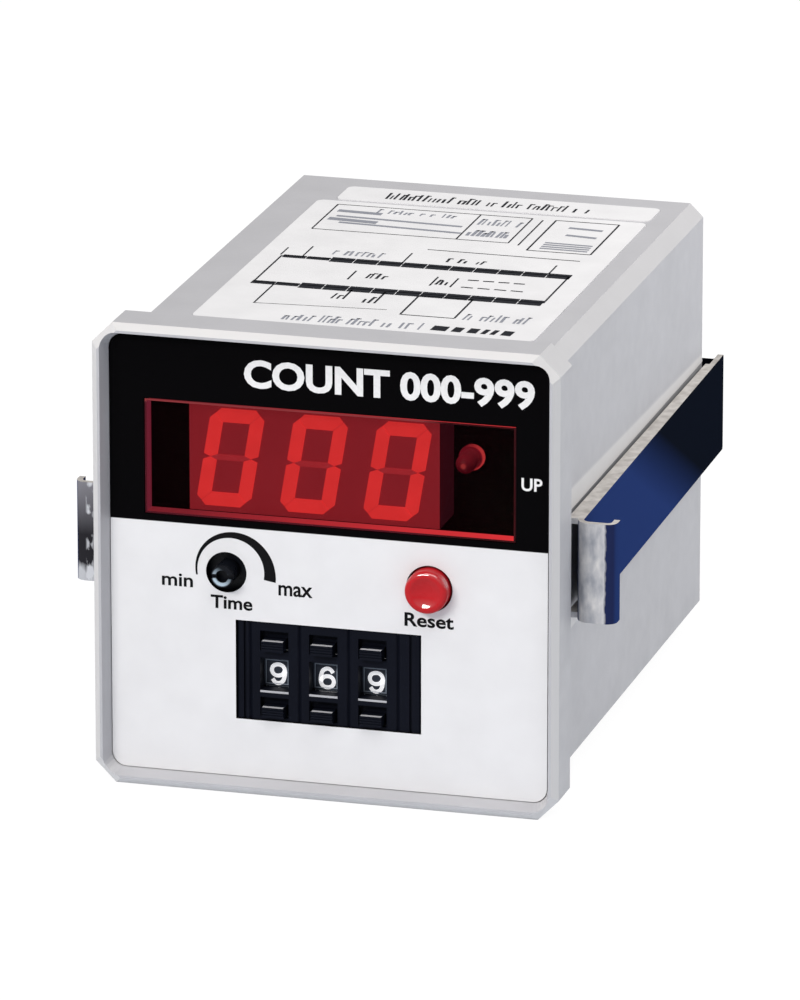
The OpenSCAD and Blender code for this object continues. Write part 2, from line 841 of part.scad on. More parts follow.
// Number wheel: ten flats, a star ratchet on its right and a running bore
module digit_wheel(i) {
    turn = 180 / wheel_sides;
    color([0.12, 0.13, 0.17]) in_case(i) translate([wheel_left, wheel_y, wheel_rise])
        rotate([0, 90, 0]) difference() {
            union() {
                rotate([0, 0, turn - 90]) cylinder(r = wheel_corner, h = wheel_w, $fn = wheel_sides);
                linear_extrude(wheel_w + ratchet_w) polygon([
                    for (k = [0:2 * wheel_sides - 1])
                        (ratchet_r - ratchet_tooth * (k % 2)) * [cos(k * turn), sin(k * turn)]
                ]);
            }
            translate([0, 0, -cut])
                cylinder(d = axle_d + 2 * run_clear, h = wheel_w + ratchet_w + 2 * cut);
        }
}

// Side view of a key's cap, with grip grooves across its front
function cap_points(front, back, half) = concat(
    [[back, -half], [back, half], [front, half]],
    [for (k = [1:grip_grooves], side = [1, 0, -1])
        let (z = half - k * key_h / (grip_grooves + 1))
        [front + (side == 0 ? grip_depth : 0), z + side * grip_depth]],
    [[front, -half]]);

// Key: cap in the nose, a wide shoulder behind it and an arm with a pawl beside the wheel
module key(i, z, inward) {
    half = key_h / 2;
    arm_end = shoulder_y + arm_length;
    pawl_tip = abs(wheel_rise - inward * ratchet_r - z) - half - pawl_gap;
    pawl_left = ratchet_left + pawl_gap;
    color([0.06, 0.07, 0.1]) in_case(i) translate([0, 0, z]) {
        translate([key_left, 0, 0]) rotate([90, 0, 90]) linear_extrude(key_w)
            polygon(cap_points(nose_y - key_proud, shoulder_y + fuse, half));
        block([shoulder_left, shoulder_y, -half],
              [lane_left + lane_w, shoulder_y + shoulder_t, half]);
        block([lane_left, shoulder_y, -half], [lane_left + lane_w, arm_end, half]);
        translate([pawl_left, arm_end, 0]) rotate([90, 0, 90])
            linear_extrude(lane_left - pawl_left + fuse)
                polygon([[0, (half + pawl_tip) * inward], [-pawl_length, half * inward],
                         [-pawl_length, -half * inward], [0, -half * inward]]);
    }
}

module contact_boards() {
    inside = case_half - case_wall;
    color([0.1, 0.35, 0.2]) for (i = [0:2]) in_case(i) {
        block([contact_left, contact_y, -inside + contact_clear],
              [contact_left + contact_t, case_back - case_wall - contact_clear,
               inside - contact_clear]);
        block([contact_left, contact_y, -inside + 2 * case_wall],
              [contact_left + contact_t, case_back + contact_out, inside - 2 * case_wall]);
    }
}

module display_board() {
    back = display_board_y + board_t;
    color([0.1, 0.32, 0.18]) difference() {
        block([-board_half, display_board_y, display_board_bottom], [board_half, back, display_board_top]);
        for (x = [-boss_x, boss_x], z = [boss_low_z, boss_high_z])
            translate([x, 0, z])
                bar_y(board_screw_d + 2 * screw_play, display_board_y - cut, back + cut);
    }
}

// Screw along +Y: head, cross slot and shank, with the head's seat at y = 0
module screw(head_d, head_t, d, length) {
    slot = head_d / 6;
    reach = head_d / 3;
    difference() {
        union() {
            bar_y(head_d, -head_t, 0);
            bar_y(d, -fuse, length);
        }
        block([-reach, -head_t - cut, -slot / 2], [reach, -head_t / 2, slot / 2]);
        block([-slot / 2, -head_t - cut, -reach], [slot / 2, -head_t / 2, reach]);
    }
}

module board_screws() {
    color([0.7, 0.7, 0.72])
        for (x = [-boss_x, boss_x], z = [boss_low_z, boss_high_z])
            translate([x, display_board_y, z])
                screw(board_screw_head_d, board_screw_head_t, board_screw_d - 2 * thread_clear,
                      board_screw_length);
}

module main_board() {
    color([0.1, 0.32, 0.18])
        block([-board_half, main_board_y, main_board_z - board_t],
              [board_half, main_board_end, main_board_z]);
}

module transformer_core() {
    window_h2 = core_h - 2 * core_yoke;
    color([0.35, 0.36, 0.38]) translate([core_x, core_y, main_board_z]) difference() {
        block([-core_w / 2, -core_stack / 2, 0], [core_w / 2, core_stack / 2, core_h]);
        for (s = [-1, 1])
            translate([s * (core_leg + core_window_w) / 2, 0, core_h / 2])
                cube([core_window_w, core_stack + 2 * cut, window_h2], center = true);
    }
}

module transformer_coil() {
    window_h2 = core_h - 2 * core_yoke;
    outer_w = core_leg + 2 * core_window_w - 2 * coil_gap;
    color([0.75, 0.6, 0.2]) translate([core_x, core_y, main_board_z + core_h / 2]) difference() {
        cube([outer_w, core_stack + 2 * coil_over, window_h2 - 2 * coil_gap], center = true);
        cube([core_leg + 2 * coil_gap, core_stack + 2 * coil_gap, core_h], center = true);
    }
}

module relay() {
    color([0.15, 0.3, 0.6])
        translate([relay_x, relay_y, main_board_z]) cube([relay_w, relay_length, relay_h]);
}

// Electrolytic capacitor with a crimp ring, standing on the main board
module capacitor(d, h) {
    r = d / 2;
    rotate_extrude() polygon([
        [0, 0], [r, 0], [r, crimp_at - crimp_half], [r - crimp_half, crimp_at],
        [r, crimp_at + crimp_half], [r, h - crimp_half], [r - crimp_half, h], [0, h]
    ]);
}

module capacitors() {
    color([0.12, 0.14, 0.2]) translate([cap_x, 0, main_board_z]) {
        translate([0, cap_y, 0]) capacitor(cap_d, cap_h);
        translate([0, small_cap_y, 0]) capacitor(small_cap_d, small_cap_h);
        translate([-small_cap_d - part_gap, small_cap_y, 0]) capacitor(small_cap_d, small_cap_h);
    }
}

module counter_chip() {
    pitch = chip_length / chip_legs;
    color([0.1, 0.1, 0.11]) translate([chip_x, chip_y, main_board_z]) {
        translate([0, 0, chip_lift]) cube([chip_w, chip_length, chip_t]);
        for (k = [0:chip_legs - 1], x = [-chip_leg, chip_w])
            translate([x, (k + 0.5) * pitch - chip_leg / 2, 0])
                cube([chip_leg, chip_leg, chip_lift + chip_t / 2]);
    }
}

// Quarter of a flat strip's bend, in the two axes of the outline
module bend(r, t) {
    intersection() {
        difference() {
            circle(r + t);
            circle(r);
        }
        square(r + t + cut);
    }
}

// Flat link: out of a header on the display board, round one bend and down to the main board
module ribbon_cable() {
    start_y = display_board_y + board_t;
    drop_y = main_board_y + header_t / 2;
    turn_y = drop_y - ribbon_bend - ribbon_t / 2;
    turn_z = ribbon_z - ribbon_bend;
    half = ribbon_w / 2;
    color([0.6, 0.6, 0.62]) {
        translate([ribbon_x - half, 0, 0]) rotate([90, 0, 90]) linear_extrude(ribbon_w) {
            translate([start_y + header_t - fuse, ribbon_z])
                square([turn_y - start_y - header_t + fuse, ribbon_t]);
            translate([turn_y, turn_z]) bend(ribbon_bend, ribbon_t);
            translate([turn_y + ribbon_bend, main_board_z + header_h - fuse])
                square([ribbon_t, turn_z - main_board_z - header_h + fuse]);
        }
        block([ribbon_x - half, start_y, ribbon_z - header_h / 2],
              [ribbon_x + half, start_y + header_t, ribbon_z + header_h / 2]);
        block([ribbon_x - half, drop_y - header_t / 2, main_board_z],
              [ribbon_x + half, drop_y + header_t / 2, main_board_z + header_h]);
    }
}

module rear_board() {
    color([0.1, 0.32, 0.18])
        along_y(rear_board_y, cover_front) cut_square(board_half, rear_board_corner);
}

module rear_cover() {
    color([0.13, 0.13, 0.14]) difference() {
        along_y(cover_front, cover_back) cut_square(board_half, body_corner);
        for (s = [-1, 1])
            translate([0, 0, s * strip_z])
                along_y(cover_front - cut, cover_back + cut)
                    square([2 * (strip_half_w + strip_clear), strip_h + 2 * strip_clear],
                           center = true);
        for (x = [-cover_boss_at, cover_boss_at], z = [-cover_boss_at, cover_boss_at])
            translate([x, 0, z]) {
                bar_y(cover_screw_d + 2 * screw_play, cover_front - cut, cover_back + cut);
                bar_y(cover_head_d + 2 * screw_play, cover_back - cover_head_t, cover_back + cut);
            }
    }
}

module cover_screws() {
    color([0.72, 0.72, 0.74])
        for (x = [-cover_boss_at, cover_boss_at], z = [-cover_boss_at, cover_boss_at])
            translate([x, cover_back - cover_head_t, z]) rotate([180, 0, 0])
                screw(cover_head_d, cover_head_t, cover_screw_d - 2 * thread_clear,
                      cover_screw_length - cover_screw_room);
}

// Places a piece at each terminal of a row
module at_terminals() {
    for (k = [0:terminals - 1])
        translate([(k - (terminals - 1) / 2) * terminal_pitch, 0, 0]) children();
}

// Barrier strip with its back wall towards the middle of the cover
module terminal_strip() {
    half = strip_h / 2;
    color([0.1, 0.1, 0.11]) translate([0, 0, strip_z]) {
        difference() {
            block([-strip_half_w, cover_front, -half], [strip_half_w, strip_floor, half]);
            at_terminals()
                bar_y(terminal_screw_d + 4 * thread_clear, cover_front + strip_base, strip_floor + cut);
        }
        block([-strip_half_w, strip_floor - fuse, -half],
              [strip_half_w, strip_end, -half + barrier_t]);
        for (k = [0:terminals])
            translate([(k - terminals / 2) * terminal_pitch, 0, 0])
                block([-barrier_t / 2, strip_floor - fuse, -half], [barrier_t / 2, strip_end, half]);
    }
}

// Repeats a piece of the upper row in the lower one
module both_rows() {
    children();
    mirror([0, 0, 1]) children();
}

module terminal_plates() {
    half = clamp_w / 2;
    color([0.75, 0.75, 0.77]) both_rows() translate([0, 0, strip_z]) at_terminals() difference() {
        block([-half, strip_floor, -half], [half, strip_floor + clamp_t, half]);
        bar_y(terminal_screw_d + screw_play, strip_floor - cut, strip_floor + clamp_t + cut);
    }
}

module terminal_screws() {
    shank = strip_floor + clamp_t - cover_front - strip_base - screw_room;
    color([0.72, 0.72, 0.74]) both_rows() translate([0, strip_floor + clamp_t, strip_z])
        at_terminals() rotate([180, 0, 0])
            screw(terminal_head_d, terminal_head_t, terminal_screw_d, shank);
}

// Section of a clip in plan, from the body's side outwards: hook, web, foot and turned-back edge
module clip_section() {
    foot_x = clip_stand_front + clip_t + bend_r;
    roll_x = clip_reach - clip_t - roll_r;
    roll_y = panel_gap + clip_t + roll_r;
    hook_x = clip_stand_rear - bend_r;
    polygon([
        [clip_stand_front, foot_turn_y - bend_fuse], [clip_stand_front + clip_t, foot_turn_y - bend_fuse],
        [clip_stand_rear + clip_t, hook_turn_y + bend_fuse], [clip_stand_rear, hook_turn_y + bend_fuse]
    ]);
    translate([foot_x, foot_turn_y]) rotate(180) bend(bend_r, clip_t);
    translate([foot_x - bend_fuse, panel_gap]) square([roll_x - foot_x + 2 * bend_fuse, clip_t]);
    translate([roll_x, roll_y]) rotate(270) bend(roll_r, clip_t);
    translate([clip_reach - clip_t, roll_y - bend_fuse]) square([clip_t, roll_return]);
    translate([hook_x, hook_turn_y]) bend(bend_r, clip_t);
    translate([hook_x - hook_length, hook_turn_y + bend_r]) square([hook_length + bend_fuse, clip_t]);
}

// Lip along one long edge of a clip, from the web towards the body
module clip_lip() {
    linear_extrude(clip_t) polygon([
        [lip_gap, foot_turn_y], [clip_stand_front + clip_t / 2, foot_turn_y],
        [clip_stand_rear + clip_t / 2, lip_end_y], [lip_gap, lip_end_y]
    ]);
}

// Wedges that cut across the rear corners of a clip, seen from the side
module rear_corners() {
    edge = clip_corner * sqrt(2);
    across = 2 * (clip_reach + hook_length);
    for (z = [0, clip_h])
        translate([0, hook_turn_y + bend_r + clip_t, z]) rotate([45, 0, 0])
            cube([across, edge, edge], center = true);
}

module clip() {
    neck = tongue_neck / 2;
    head = tongue_head / 2;
    color([0.2, 0.26, 0.45]) translate([body_half, 0, 0]) {
        translate([0, 0, -clip_half]) {
            difference() {
                linear_extrude(clip_h) clip_section();
                rear_corners();
            }
            clip_lip();
            translate([0, 0, clip_h - clip_t]) clip_lip();
        }
        block([-head_in - clip_t, tongue_y, -neck],
              [max(clip_stand_front, clip_stand_rear), tongue_y + tongue_length, neck]);
        block([-head_in - clip_t, tongue_y, -head], [-head_in, tongue_y + tongue_length, head]);
    }
}

// Sticker with rounded corners on the top face, from its right and front edges
module sticker(right, front, width, length) {
    translate([right - width / 2, front + length / 2, body_half])
        linear_extrude(label_t) round_rect(width / 2, length / 2, label_corner);
}

module top_label() {
    color([0.95, 0.95, 0.94]) sticker(label_x + label_w / 2, label_y, label_w, label_length);
}

module strip_label() {
    start = label_y + label_length + label_gap;
    color([0.94, 0.94, 0.93])
        sticker(label_x + label_w / 2, start, strip_label_w, strip_label_length);
}

housing();
fascia_plate();
display_window();
display_module();
digit_segments();
middle_segments();
up_led();
reset_button();
reset_plunger();
reset_switch();
time_knob();
time_trimmer();
for (i = [0:2]) {
    pushwheel_frame(i);
    digit_wheel(i);
    key(i, plus_rise, -1);
    key(i, -minus_drop, 1);
}
pushwheel_end(stack_left, end_left_w);  // pushwheel_end_left
pushwheel_end(case_x(3), end_right_w);  // pushwheel_end_right
contact_boards();
display_board();
board_screws();
main_board();
transformer_core();
transformer_coil();
relay();
capacitors();
counter_chip();
ribbon_cable();
rear_board();
rear_cover();
cover_screws();
terminal_strip();  // terminal_strip_upper
mirror([0, 0, 1]) terminal_strip();  // terminal_strip_lower
terminal_plates();
terminal_screws();
clip();  // clip_right
mirror([1, 0, 0]) clip();  // clip_left
top_label();
strip_label();
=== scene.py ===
"""Looks of a panel counter: finishes, printed legends, numerals, light and camera.

The scene is in metres in the part's frame: X right, Y rearwards, Z up, with the origin at the
centre of the panel cut-out on the bezel's rear face. Finishes and lights are written in metres.
The sizes of the pieces and of the camera's place are written in millimetres.
"""
import json
import math

import bpy
import numpy as np
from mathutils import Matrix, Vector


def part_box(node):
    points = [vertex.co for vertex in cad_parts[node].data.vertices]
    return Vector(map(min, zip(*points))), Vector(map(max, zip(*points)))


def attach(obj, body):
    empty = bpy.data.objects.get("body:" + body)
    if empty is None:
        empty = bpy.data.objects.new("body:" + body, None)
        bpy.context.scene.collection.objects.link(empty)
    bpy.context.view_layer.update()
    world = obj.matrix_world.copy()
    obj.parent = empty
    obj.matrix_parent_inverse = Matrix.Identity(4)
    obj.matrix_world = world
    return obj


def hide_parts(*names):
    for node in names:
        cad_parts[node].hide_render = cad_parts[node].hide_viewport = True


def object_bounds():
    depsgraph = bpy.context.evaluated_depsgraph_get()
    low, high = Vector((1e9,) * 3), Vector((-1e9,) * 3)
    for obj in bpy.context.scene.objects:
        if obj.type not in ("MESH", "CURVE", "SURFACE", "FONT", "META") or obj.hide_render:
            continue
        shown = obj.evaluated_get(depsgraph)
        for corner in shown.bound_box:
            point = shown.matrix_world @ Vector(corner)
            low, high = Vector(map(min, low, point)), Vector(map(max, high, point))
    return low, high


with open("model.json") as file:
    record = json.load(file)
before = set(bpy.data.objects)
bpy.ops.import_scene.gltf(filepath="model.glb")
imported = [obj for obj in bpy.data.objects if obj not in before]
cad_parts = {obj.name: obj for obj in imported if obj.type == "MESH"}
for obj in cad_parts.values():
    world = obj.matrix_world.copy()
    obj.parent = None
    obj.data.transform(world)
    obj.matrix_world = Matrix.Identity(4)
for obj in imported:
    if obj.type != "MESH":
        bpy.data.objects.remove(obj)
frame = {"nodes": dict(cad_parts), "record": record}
cad_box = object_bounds()
nodes = frame["nodes"]
MM = 0.001


class Wire:
    """A shader socket. Arithmetic on it adds Math nodes, and node() adds any other node."""

    def __init__(self, tree, socket=None):
        self.tree = tree
        self.socket = socket

    def node(self, kind, settings=None, sockets=None, out=0):
        """Adds a node of that type, with its settings and its sockets by name or number."""
        made = self.tree.nodes.new(kind)
        for key, value in (settings or {}).items():
            setattr(made, key, value)
        for key, value in (sockets or {}).items():
            if isinstance(value, Wire):
                self.tree.links.new(value.socket, made.inputs[key])
            else:
                made.inputs[key].default_value = value
        return Wire(self.tree, made.outputs[out]) if len(made.outputs) else None

    def math(self, operation, other=0.0, clamp=False):
        """One Math node on this socket and another socket or number."""
        settings = {"operation": operation, "use_clamp": clamp}
        return self.node("ShaderNodeMath", settings, {0: self, 1: other})

    def __add__(self, other):
        return self.math("ADD", other)

    def __sub__(self, other):
        return self.math("SUBTRACT", other)

    def __mul__(self, other):
        return self.math("MULTIPLY", other)

    def __neg__(self):
        return self.math("MULTIPLY", -1.0)

    def __rsub__(self, other):
        return -self + other

    __radd__ = __add__
    __rmul__ = __mul__

    def size(self):
        """This without its sign."""
        return self.math("ABSOLUTE")

    def step(self, edge, width):
        """0 below the edge and 1 above it, over that width."""
        return ((self - (edge - width / 2)) * (1.0 / width)).math("ADD", 0.0, clamp=True)

    def mix(self, low, high):
        """The colour low where this is 0 and high where it is 1."""
        pair = [c if isinstance(c, Wire) else (*c, 1.0) for c in (low, high)]
        sockets = {0: self, 6: pair[0], 7: pair[1]}
        return self.node("ShaderNodeMix", {"data_type": "RGBA"}, sockets, out=2)


class Finish:
    """A Principled material with the wires that its patterns start from."""

    def __init__(self, name, slot, **constants):
        self.mat = bpy.data.materials.new(name)
        self.mat.use_nodes = True
        self.slot = slot
        self.tree = self.mat.node_tree
        self.bsdf = self.tree.nodes["Principled BSDF"]
        root = Wire(self.tree)
        self.place = root.node("ShaderNodeTexCoord", out=3)
        self.x, self.y, self.z = self.split(self.place)
        self.nx, self.ny, self.nz = self.split(root.node("ShaderNodeTexCoord", out=1))
        for key, value in constants.items():
            self.set(key.replace("_", " "), value)

    def split(self, vector):
        """The three parts of a vector."""
        parts = vector.node("ShaderNodeSeparateXYZ", sockets={0: vector}).socket.node.outputs
        return [Wire(self.tree, part) for part in parts]

    def set(self, socket, value):
        """Links a wire to one of the shader's sockets, or writes a constant there."""
        if isinstance(value, Wire):
            self.tree.links.new(value.socket, self.bsdf.inputs[socket])
        else:
            self.bsdf.inputs[socket].default_value = value

    def noise(self, size, low=0.0, high=1.0, detail=2.0, stretch=(1, 1, 1)):
        """Noise with features of that size in metres, spread from low to high."""
        scale = tuple(s / size for s in stretch)
        settings = {"operation": "MULTIPLY"}
        where = self.place.node("ShaderNodeVectorMath", settings, {0: self.place, 1: scale})
        raw = where.node("ShaderNodeTexNoise", {}, {"Vector": where, "Scale": 1.0, "Detail": detail})
        return raw.step(0.5, 0.5) * (high - low) + low

    def about(self, node):
        """Across, up and radius from a node's middle, for a piece that is round about Y."""
        low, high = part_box(node)
        across = self.x - (low[0] + high[0]) / 2
        up = self.z - (low[2] + high[2]) / 2
        return across, up, (across * across + up * up).math("SQRT")

    def bump(self, height, depth):
        """Relief of that depth in metres."""
        self.set("Normal", height.node("ShaderNodeBump", {}, {"Distance": depth, "Height": height}))


GLOSSY = {"Specular_IOR_Level": 0.1, "Coat_IOR": 2.1, "Coat_Roughness": 0.06}
DULL = {"Specular_IOR_Level": 0.12}
MATT = {"Specular_IOR_Level": 0.04}


def tint(colour, k):
    """The colour times k."""
    return tuple(c * k for c in colour)


def moulded(name, slot, colour, rough, spread=0.05, grain=0.35 * MM, depth=0.004 * MM, **constants):
    """Moulded plastic: slow colour drift, a fine grain and slightly uneven gloss."""
    f = Finish(name, slot, **constants)
    f.drift = f.noise(9 * MM, detail=3).mix(tint(colour, 1 - spread), tint(colour, 1 + spread))
    f.set("Base Color", f.drift)
    f.set("Roughness", f.noise(2.5 * MM, rough - 0.06, rough + 0.06))
    f.bump(f.noise(grain), depth)
    return f


def plated(name, slot, colour, rough, stretch):
    """Plated or brushed metal with fine lines along one direction."""
    f = Finish(name, slot, Metallic=1.0)
    lines = f.noise(0.15 * MM, stretch=stretch)
    f.set("Base Color", f.noise(2 * MM).mix(tint(colour, 0.86), colour))
    f.set("Roughness", lines * 0.14 + (rough - 0.07))
    f.bump(lines, 0.002 * MM)
    return f


def glowing(name, slot, colour, glow, rough, **constants):
    """A lit part behind the filter: its own colour and a glow that drifts a little."""
    f = Finish(name, slot, Emission_Strength=1.0, **constants)
    f.set("Base Color", f.noise(2 * MM).mix(tint(colour, 0.85), colour))
    f.set("Emission Color", f.noise(3 * MM).mix(tint(glow, 0.93), tint(glow, 1.05)))
    f.set("Roughness", f.noise(1 * MM, rough - 0.07, rough + 0.07))
    return f


# Finishes of the CAD nodes, by material slot

SPLIT_LINE = 5.15 * MM


def fascia_film():
    """Printed film: black above the split line and white below; every face that is not the front, the walls
    of its holes among them, is painted black as shade in the holes.
    """
    f = Finish("fascia_film", "fascia_print", Specular_IOR_Level=0.02)
    paper = f.noise(6 * MM, detail=3).mix((0.72, 0.712, 0.717), (0.76, 0.753, 0.758))
    front = (-f.ny).step(0.7, 0.2)
    # Faces that are not the front are painted black: painted shade in the holes
    ink = (f.z.step(SPLIT_LINE, 0.08 * MM) + (1.0 - front)).math("MINIMUM", 1.0)
    f.set("Base Color", ink.mix(paper, (0.0016, 0.0014, 0.0018)))
    f.set("Roughness", f.noise(1.5 * MM, 0.40, 0.48))
    f.bump(f.noise(0.25 * MM), 0.002 * MM)
    return f


def red_filter():
    """Dark red filter that lets the lit parts through."""
    f = Finish("red_filter", "window_red", Alpha=0.34, Specular_IOR_Level=0.02)
    f.set("Base Color", f.noise(12 * MM).mix((0.004, 0.0008, 0.0012), (0.006, 0.001, 0.0015)))
    f.set("Roughness", f.noise(3 * MM, 0.10, 0.16))
    return f


def display_block():
    """Display body whose glow is painted light: a painted highlight on its top, its front painted lit and
    its sides dark as painted shade.
    """
    f = Finish("display_body", "display_body", Emission_Strength=1.0, Specular_IOR_Level=0.1)
    # Painted light by facing: painted shade on the sides, painted light on the front and a painted
    # highlight on top
    painted_front_light = f.noise(9 * MM, detail=3).mix((0.33, 0.018, 0.026), (0.38, 0.021, 0.030))
    body = (-f.ny).step(0.5, 0.4).mix((0.030, 0.004, 0.008), painted_front_light)
    f.set("Base Color", f.noise(2 * MM).mix((0.19, 0.010, 0.015), (0.22, 0.012, 0.018)))
    f.set("Emission Color", f.nz.step(0.5, 0.4).mix(body, (0.70, 0.05, 0.06)))
    f.set("Roughness", f.noise(1 * MM, 0.43, 0.57))
    return f


def lamp_epoxy():
    """Unlit red lamp whose glow is painted light: a lighter upper side, a painted glint on its tip and a
    painted highlight along the right edge of its collar.
    """
    f = Finish("lamp_epoxy", "lamp_red", Emission_Strength=1.0, Specular_IOR_Level=0.1)
    f.set("Base Color", f.noise(1 * MM).mix((0.20, 0.006, 0.012), (0.25, 0.008, 0.014)))
    across, _, radius = f.about("up_led")
    collar_front, rim_inside = 2.2 * MM, 1.72 * MM
    # Painted highlight on the collar's right edge, then a painted lighter upper side and a painted glint on
    # the tip
    painted_rim_highlight = radius.step(rim_inside, 0.12 * MM) * across.step(0.3 * MM, 2.4 * MM)
    collar = painted_rim_highlight.mix((0.17, 0.007, 0.016), (0.85, 0.060, 0.060))
    painted_dome_light = f.nz.step(0.35, 1.0).mix((0.03, 0.001, 0.004), (0.20, 0.012, 0.020))
    lamp = (-f.ny).step(0.96, 0.05).mix(painted_dome_light, (0.46, 0.045, 0.042))
    f.set("Emission Color", f.y.step(collar_front, 0.1 * MM).mix(lamp, collar))
    f.set("Roughness", f.noise(1 * MM, 0.13, 0.27))
    return f


def blued_clip():
    """Blued spring steel: blue that darkens to the rear as a painted reflection, pale sheared edges, and a
    scuffed foot whose outside on the right is painted dark blue as shade.
    """
    f = Finish("clip_steel", "clip_steel", Specular_IOR_Level=0.0)
    side = f.x.size()
    fade_at, fade_over = 57 * MM, 22 * MM
    foot_outside, foot_middle, foot_back = 40.9 * MM, 39.6 * MM, 6 * MM
    wear_line = -5.0 * MM
    # Painted reflection: the blue web fades dark towards the rear
    painted_reflection_fade = (f.y + f.z * 2.0).step(fade_at, fade_over)
    web = painted_reflection_fade.mix((0.021, 0.042, 0.150), (0.0055, 0.0075, 0.0135))
    edge = f.nz.size().step(0.6, 0.3)
    cream = f.noise(1.6 * MM, detail=4).mix((0.40, 0.375, 0.35), (0.66, 0.63, 0.60))
    scuff = f.noise(1.5 * MM, detail=5, stretch=(1, 1, 0.45))
    # Painted shade: the outside of the right foot is dark blue
    painted_shade_outside = (side + scuff * (0.9 * MM)).step(foot_outside, 0.4 * MM)
    right = painted_shade_outside.mix(scuff.mix((0.36, 0.375, 0.42), (0.92, 0.89, 0.86)), (0.018, 0.026, 0.085))
    streak = 1.0 - (side - foot_middle).size().step(0.5 * MM, 0.4 * MM)
    worn_low = 1.0 - (f.z + scuff * (1.5 * MM)).step(wear_line, 1.2 * MM)
    wear_and_painted_highlight = (streak * scuff.step(0.55, 0.15) + worn_low * 0.8).math("MINIMUM", 1.0)
    dark = f.z.step(4 * MM, 9 * MM).mix((0.024, 0.023, 0.027), (0.24, 0.235, 0.26))
    left = wear_and_painted_highlight.mix(dark, (0.62, 0.63, 0.66))
    foot = (-f.ny).step(0.55, 0.3) * (1.0 - f.y.step(foot_back, 1 * MM))
    f.set("Base Color", foot.mix(edge.mix(web, cream), f.x.step(0.0, 1 * MM).mix(left, right)))
    f.set("Roughness", f.noise(2 * MM, 0.30, 0.42))
    f.bump(f.noise(0.5 * MM, stretch=(1, 0.1, 1)), 0.003 * MM)
    return f


def board_mask():
    """Dark solder mask with faint tracks."""
    f = Finish("board_mask", "board_green", Specular_IOR_Level=0.02)
    tracks = f.noise(1.6 * MM, stretch=(1, 1, 4)).step(0.55, 0.1)
    f.set("Base Color", tracks.mix((0.0016, 0.005, 0.003), (0.003, 0.009, 0.005)))
    f.set("Roughness", f.noise(2 * MM, 0.4, 0.55))
    f.bump(tracks, 0.02 * MM)
    return f


def trimmer_shaft():
    """Black shaft with a painted highlight: a pale ring on its tip, lit at its lower left."""
    f = Finish("shaft_plastic", "shaft_black", Specular_IOR_Level=0.1)
    across, up, radius = f.about("time_knob")
    ring_radius, ring_half, tip_depth = 1.15 * MM, 0.32 * MM, 0.3 * MM
    ring = 1.0 - (radius - ring_radius).size().step(ring_half, 0.2 * MM)
    tip = 1.0 - f.y.step(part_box("time_knob")[0][1] + tip_depth, 0.2 * MM)
    # Painted highlight on the lower left of the tip's ring
    wear_and_painted_highlight = ring * tip * (across * -0.7 - up).step(0.0, 2.4 * MM)
    f.set("Base Color", wear_and_painted_highlight.mix((0.005, 0.006, 0.009), (0.42, 0.52, 0.60)))
    f.set("Roughness", f.noise(1 * MM, 0.24, 0.36))
    return f


BODY_HALF = 33.5 * MM
HOUSING_GREY = (0.455, 0.452, 0.472)
# Grey of the painted highlights on the housing
PAINTED_HIGHLIGHT_GREY = (0.62, 0.608, 0.605)
BUTTON_RED = (0.46, 0.011, 0.016)


def housing_plastic():
    """Grey moulding with painted highlights, lighter on its bevels and long edges and on the ribs beside
    the clips.
    """
    f = moulded("housing_plastic", "housing_grey", HOUSING_GREY, 0.46, 0.04)
    # Painted highlights where light catches the ribs, the front bevels and the long edges
    painted_rib_highlight = f.x.size().step(BODY_HALF + 0.06 * MM, 0.06 * MM) * f.y.step(1 * MM, 0.2 * MM)
    bevel = (-f.ny).step(0.55, 0.2) * (1.0 - (-f.ny).step(0.86, 0.1))
    long_edge = (f.nx * f.nz).size().step(0.35, 0.2) * 0.45
    wear_and_painted_highlight = (painted_rib_highlight + bevel + long_edge).math("MINIMUM", 1.0)
    f.set("Base Color", wear_and_painted_highlight.mix(f.drift, PAINTED_HIGHLIGHT_GREY))
    return f


def button_plastic():
    """Red cap, glossy on the slopes that face up and dulled by fingers elsewhere."""
    f = moulded("button_plastic", "button_red", BUTTON_RED, 0.30, 0.03, **GLOSSY)
    slope = f.nz.step(0.27, 0.2) * (1.0 - f.nz.step(0.72, 0.2))
    f.set("Coat Weight", slope * 0.95 + 0.05)
    return f


def label_film():
    """White sticker film."""
    f = Finish("label_film", "label_white", Specular_IOR_Level=0.2)
    f.set("Base Color", f.noise(7 * MM, detail=3).mix((0.72, 0.715, 0.725), (0.78, 0.775, 0.785)))
    f.set("Roughness", f.noise(2 * MM, 0.35, 0.45))
    f.bump(f.noise(0.6 * MM), 0.002 * MM)
    return f


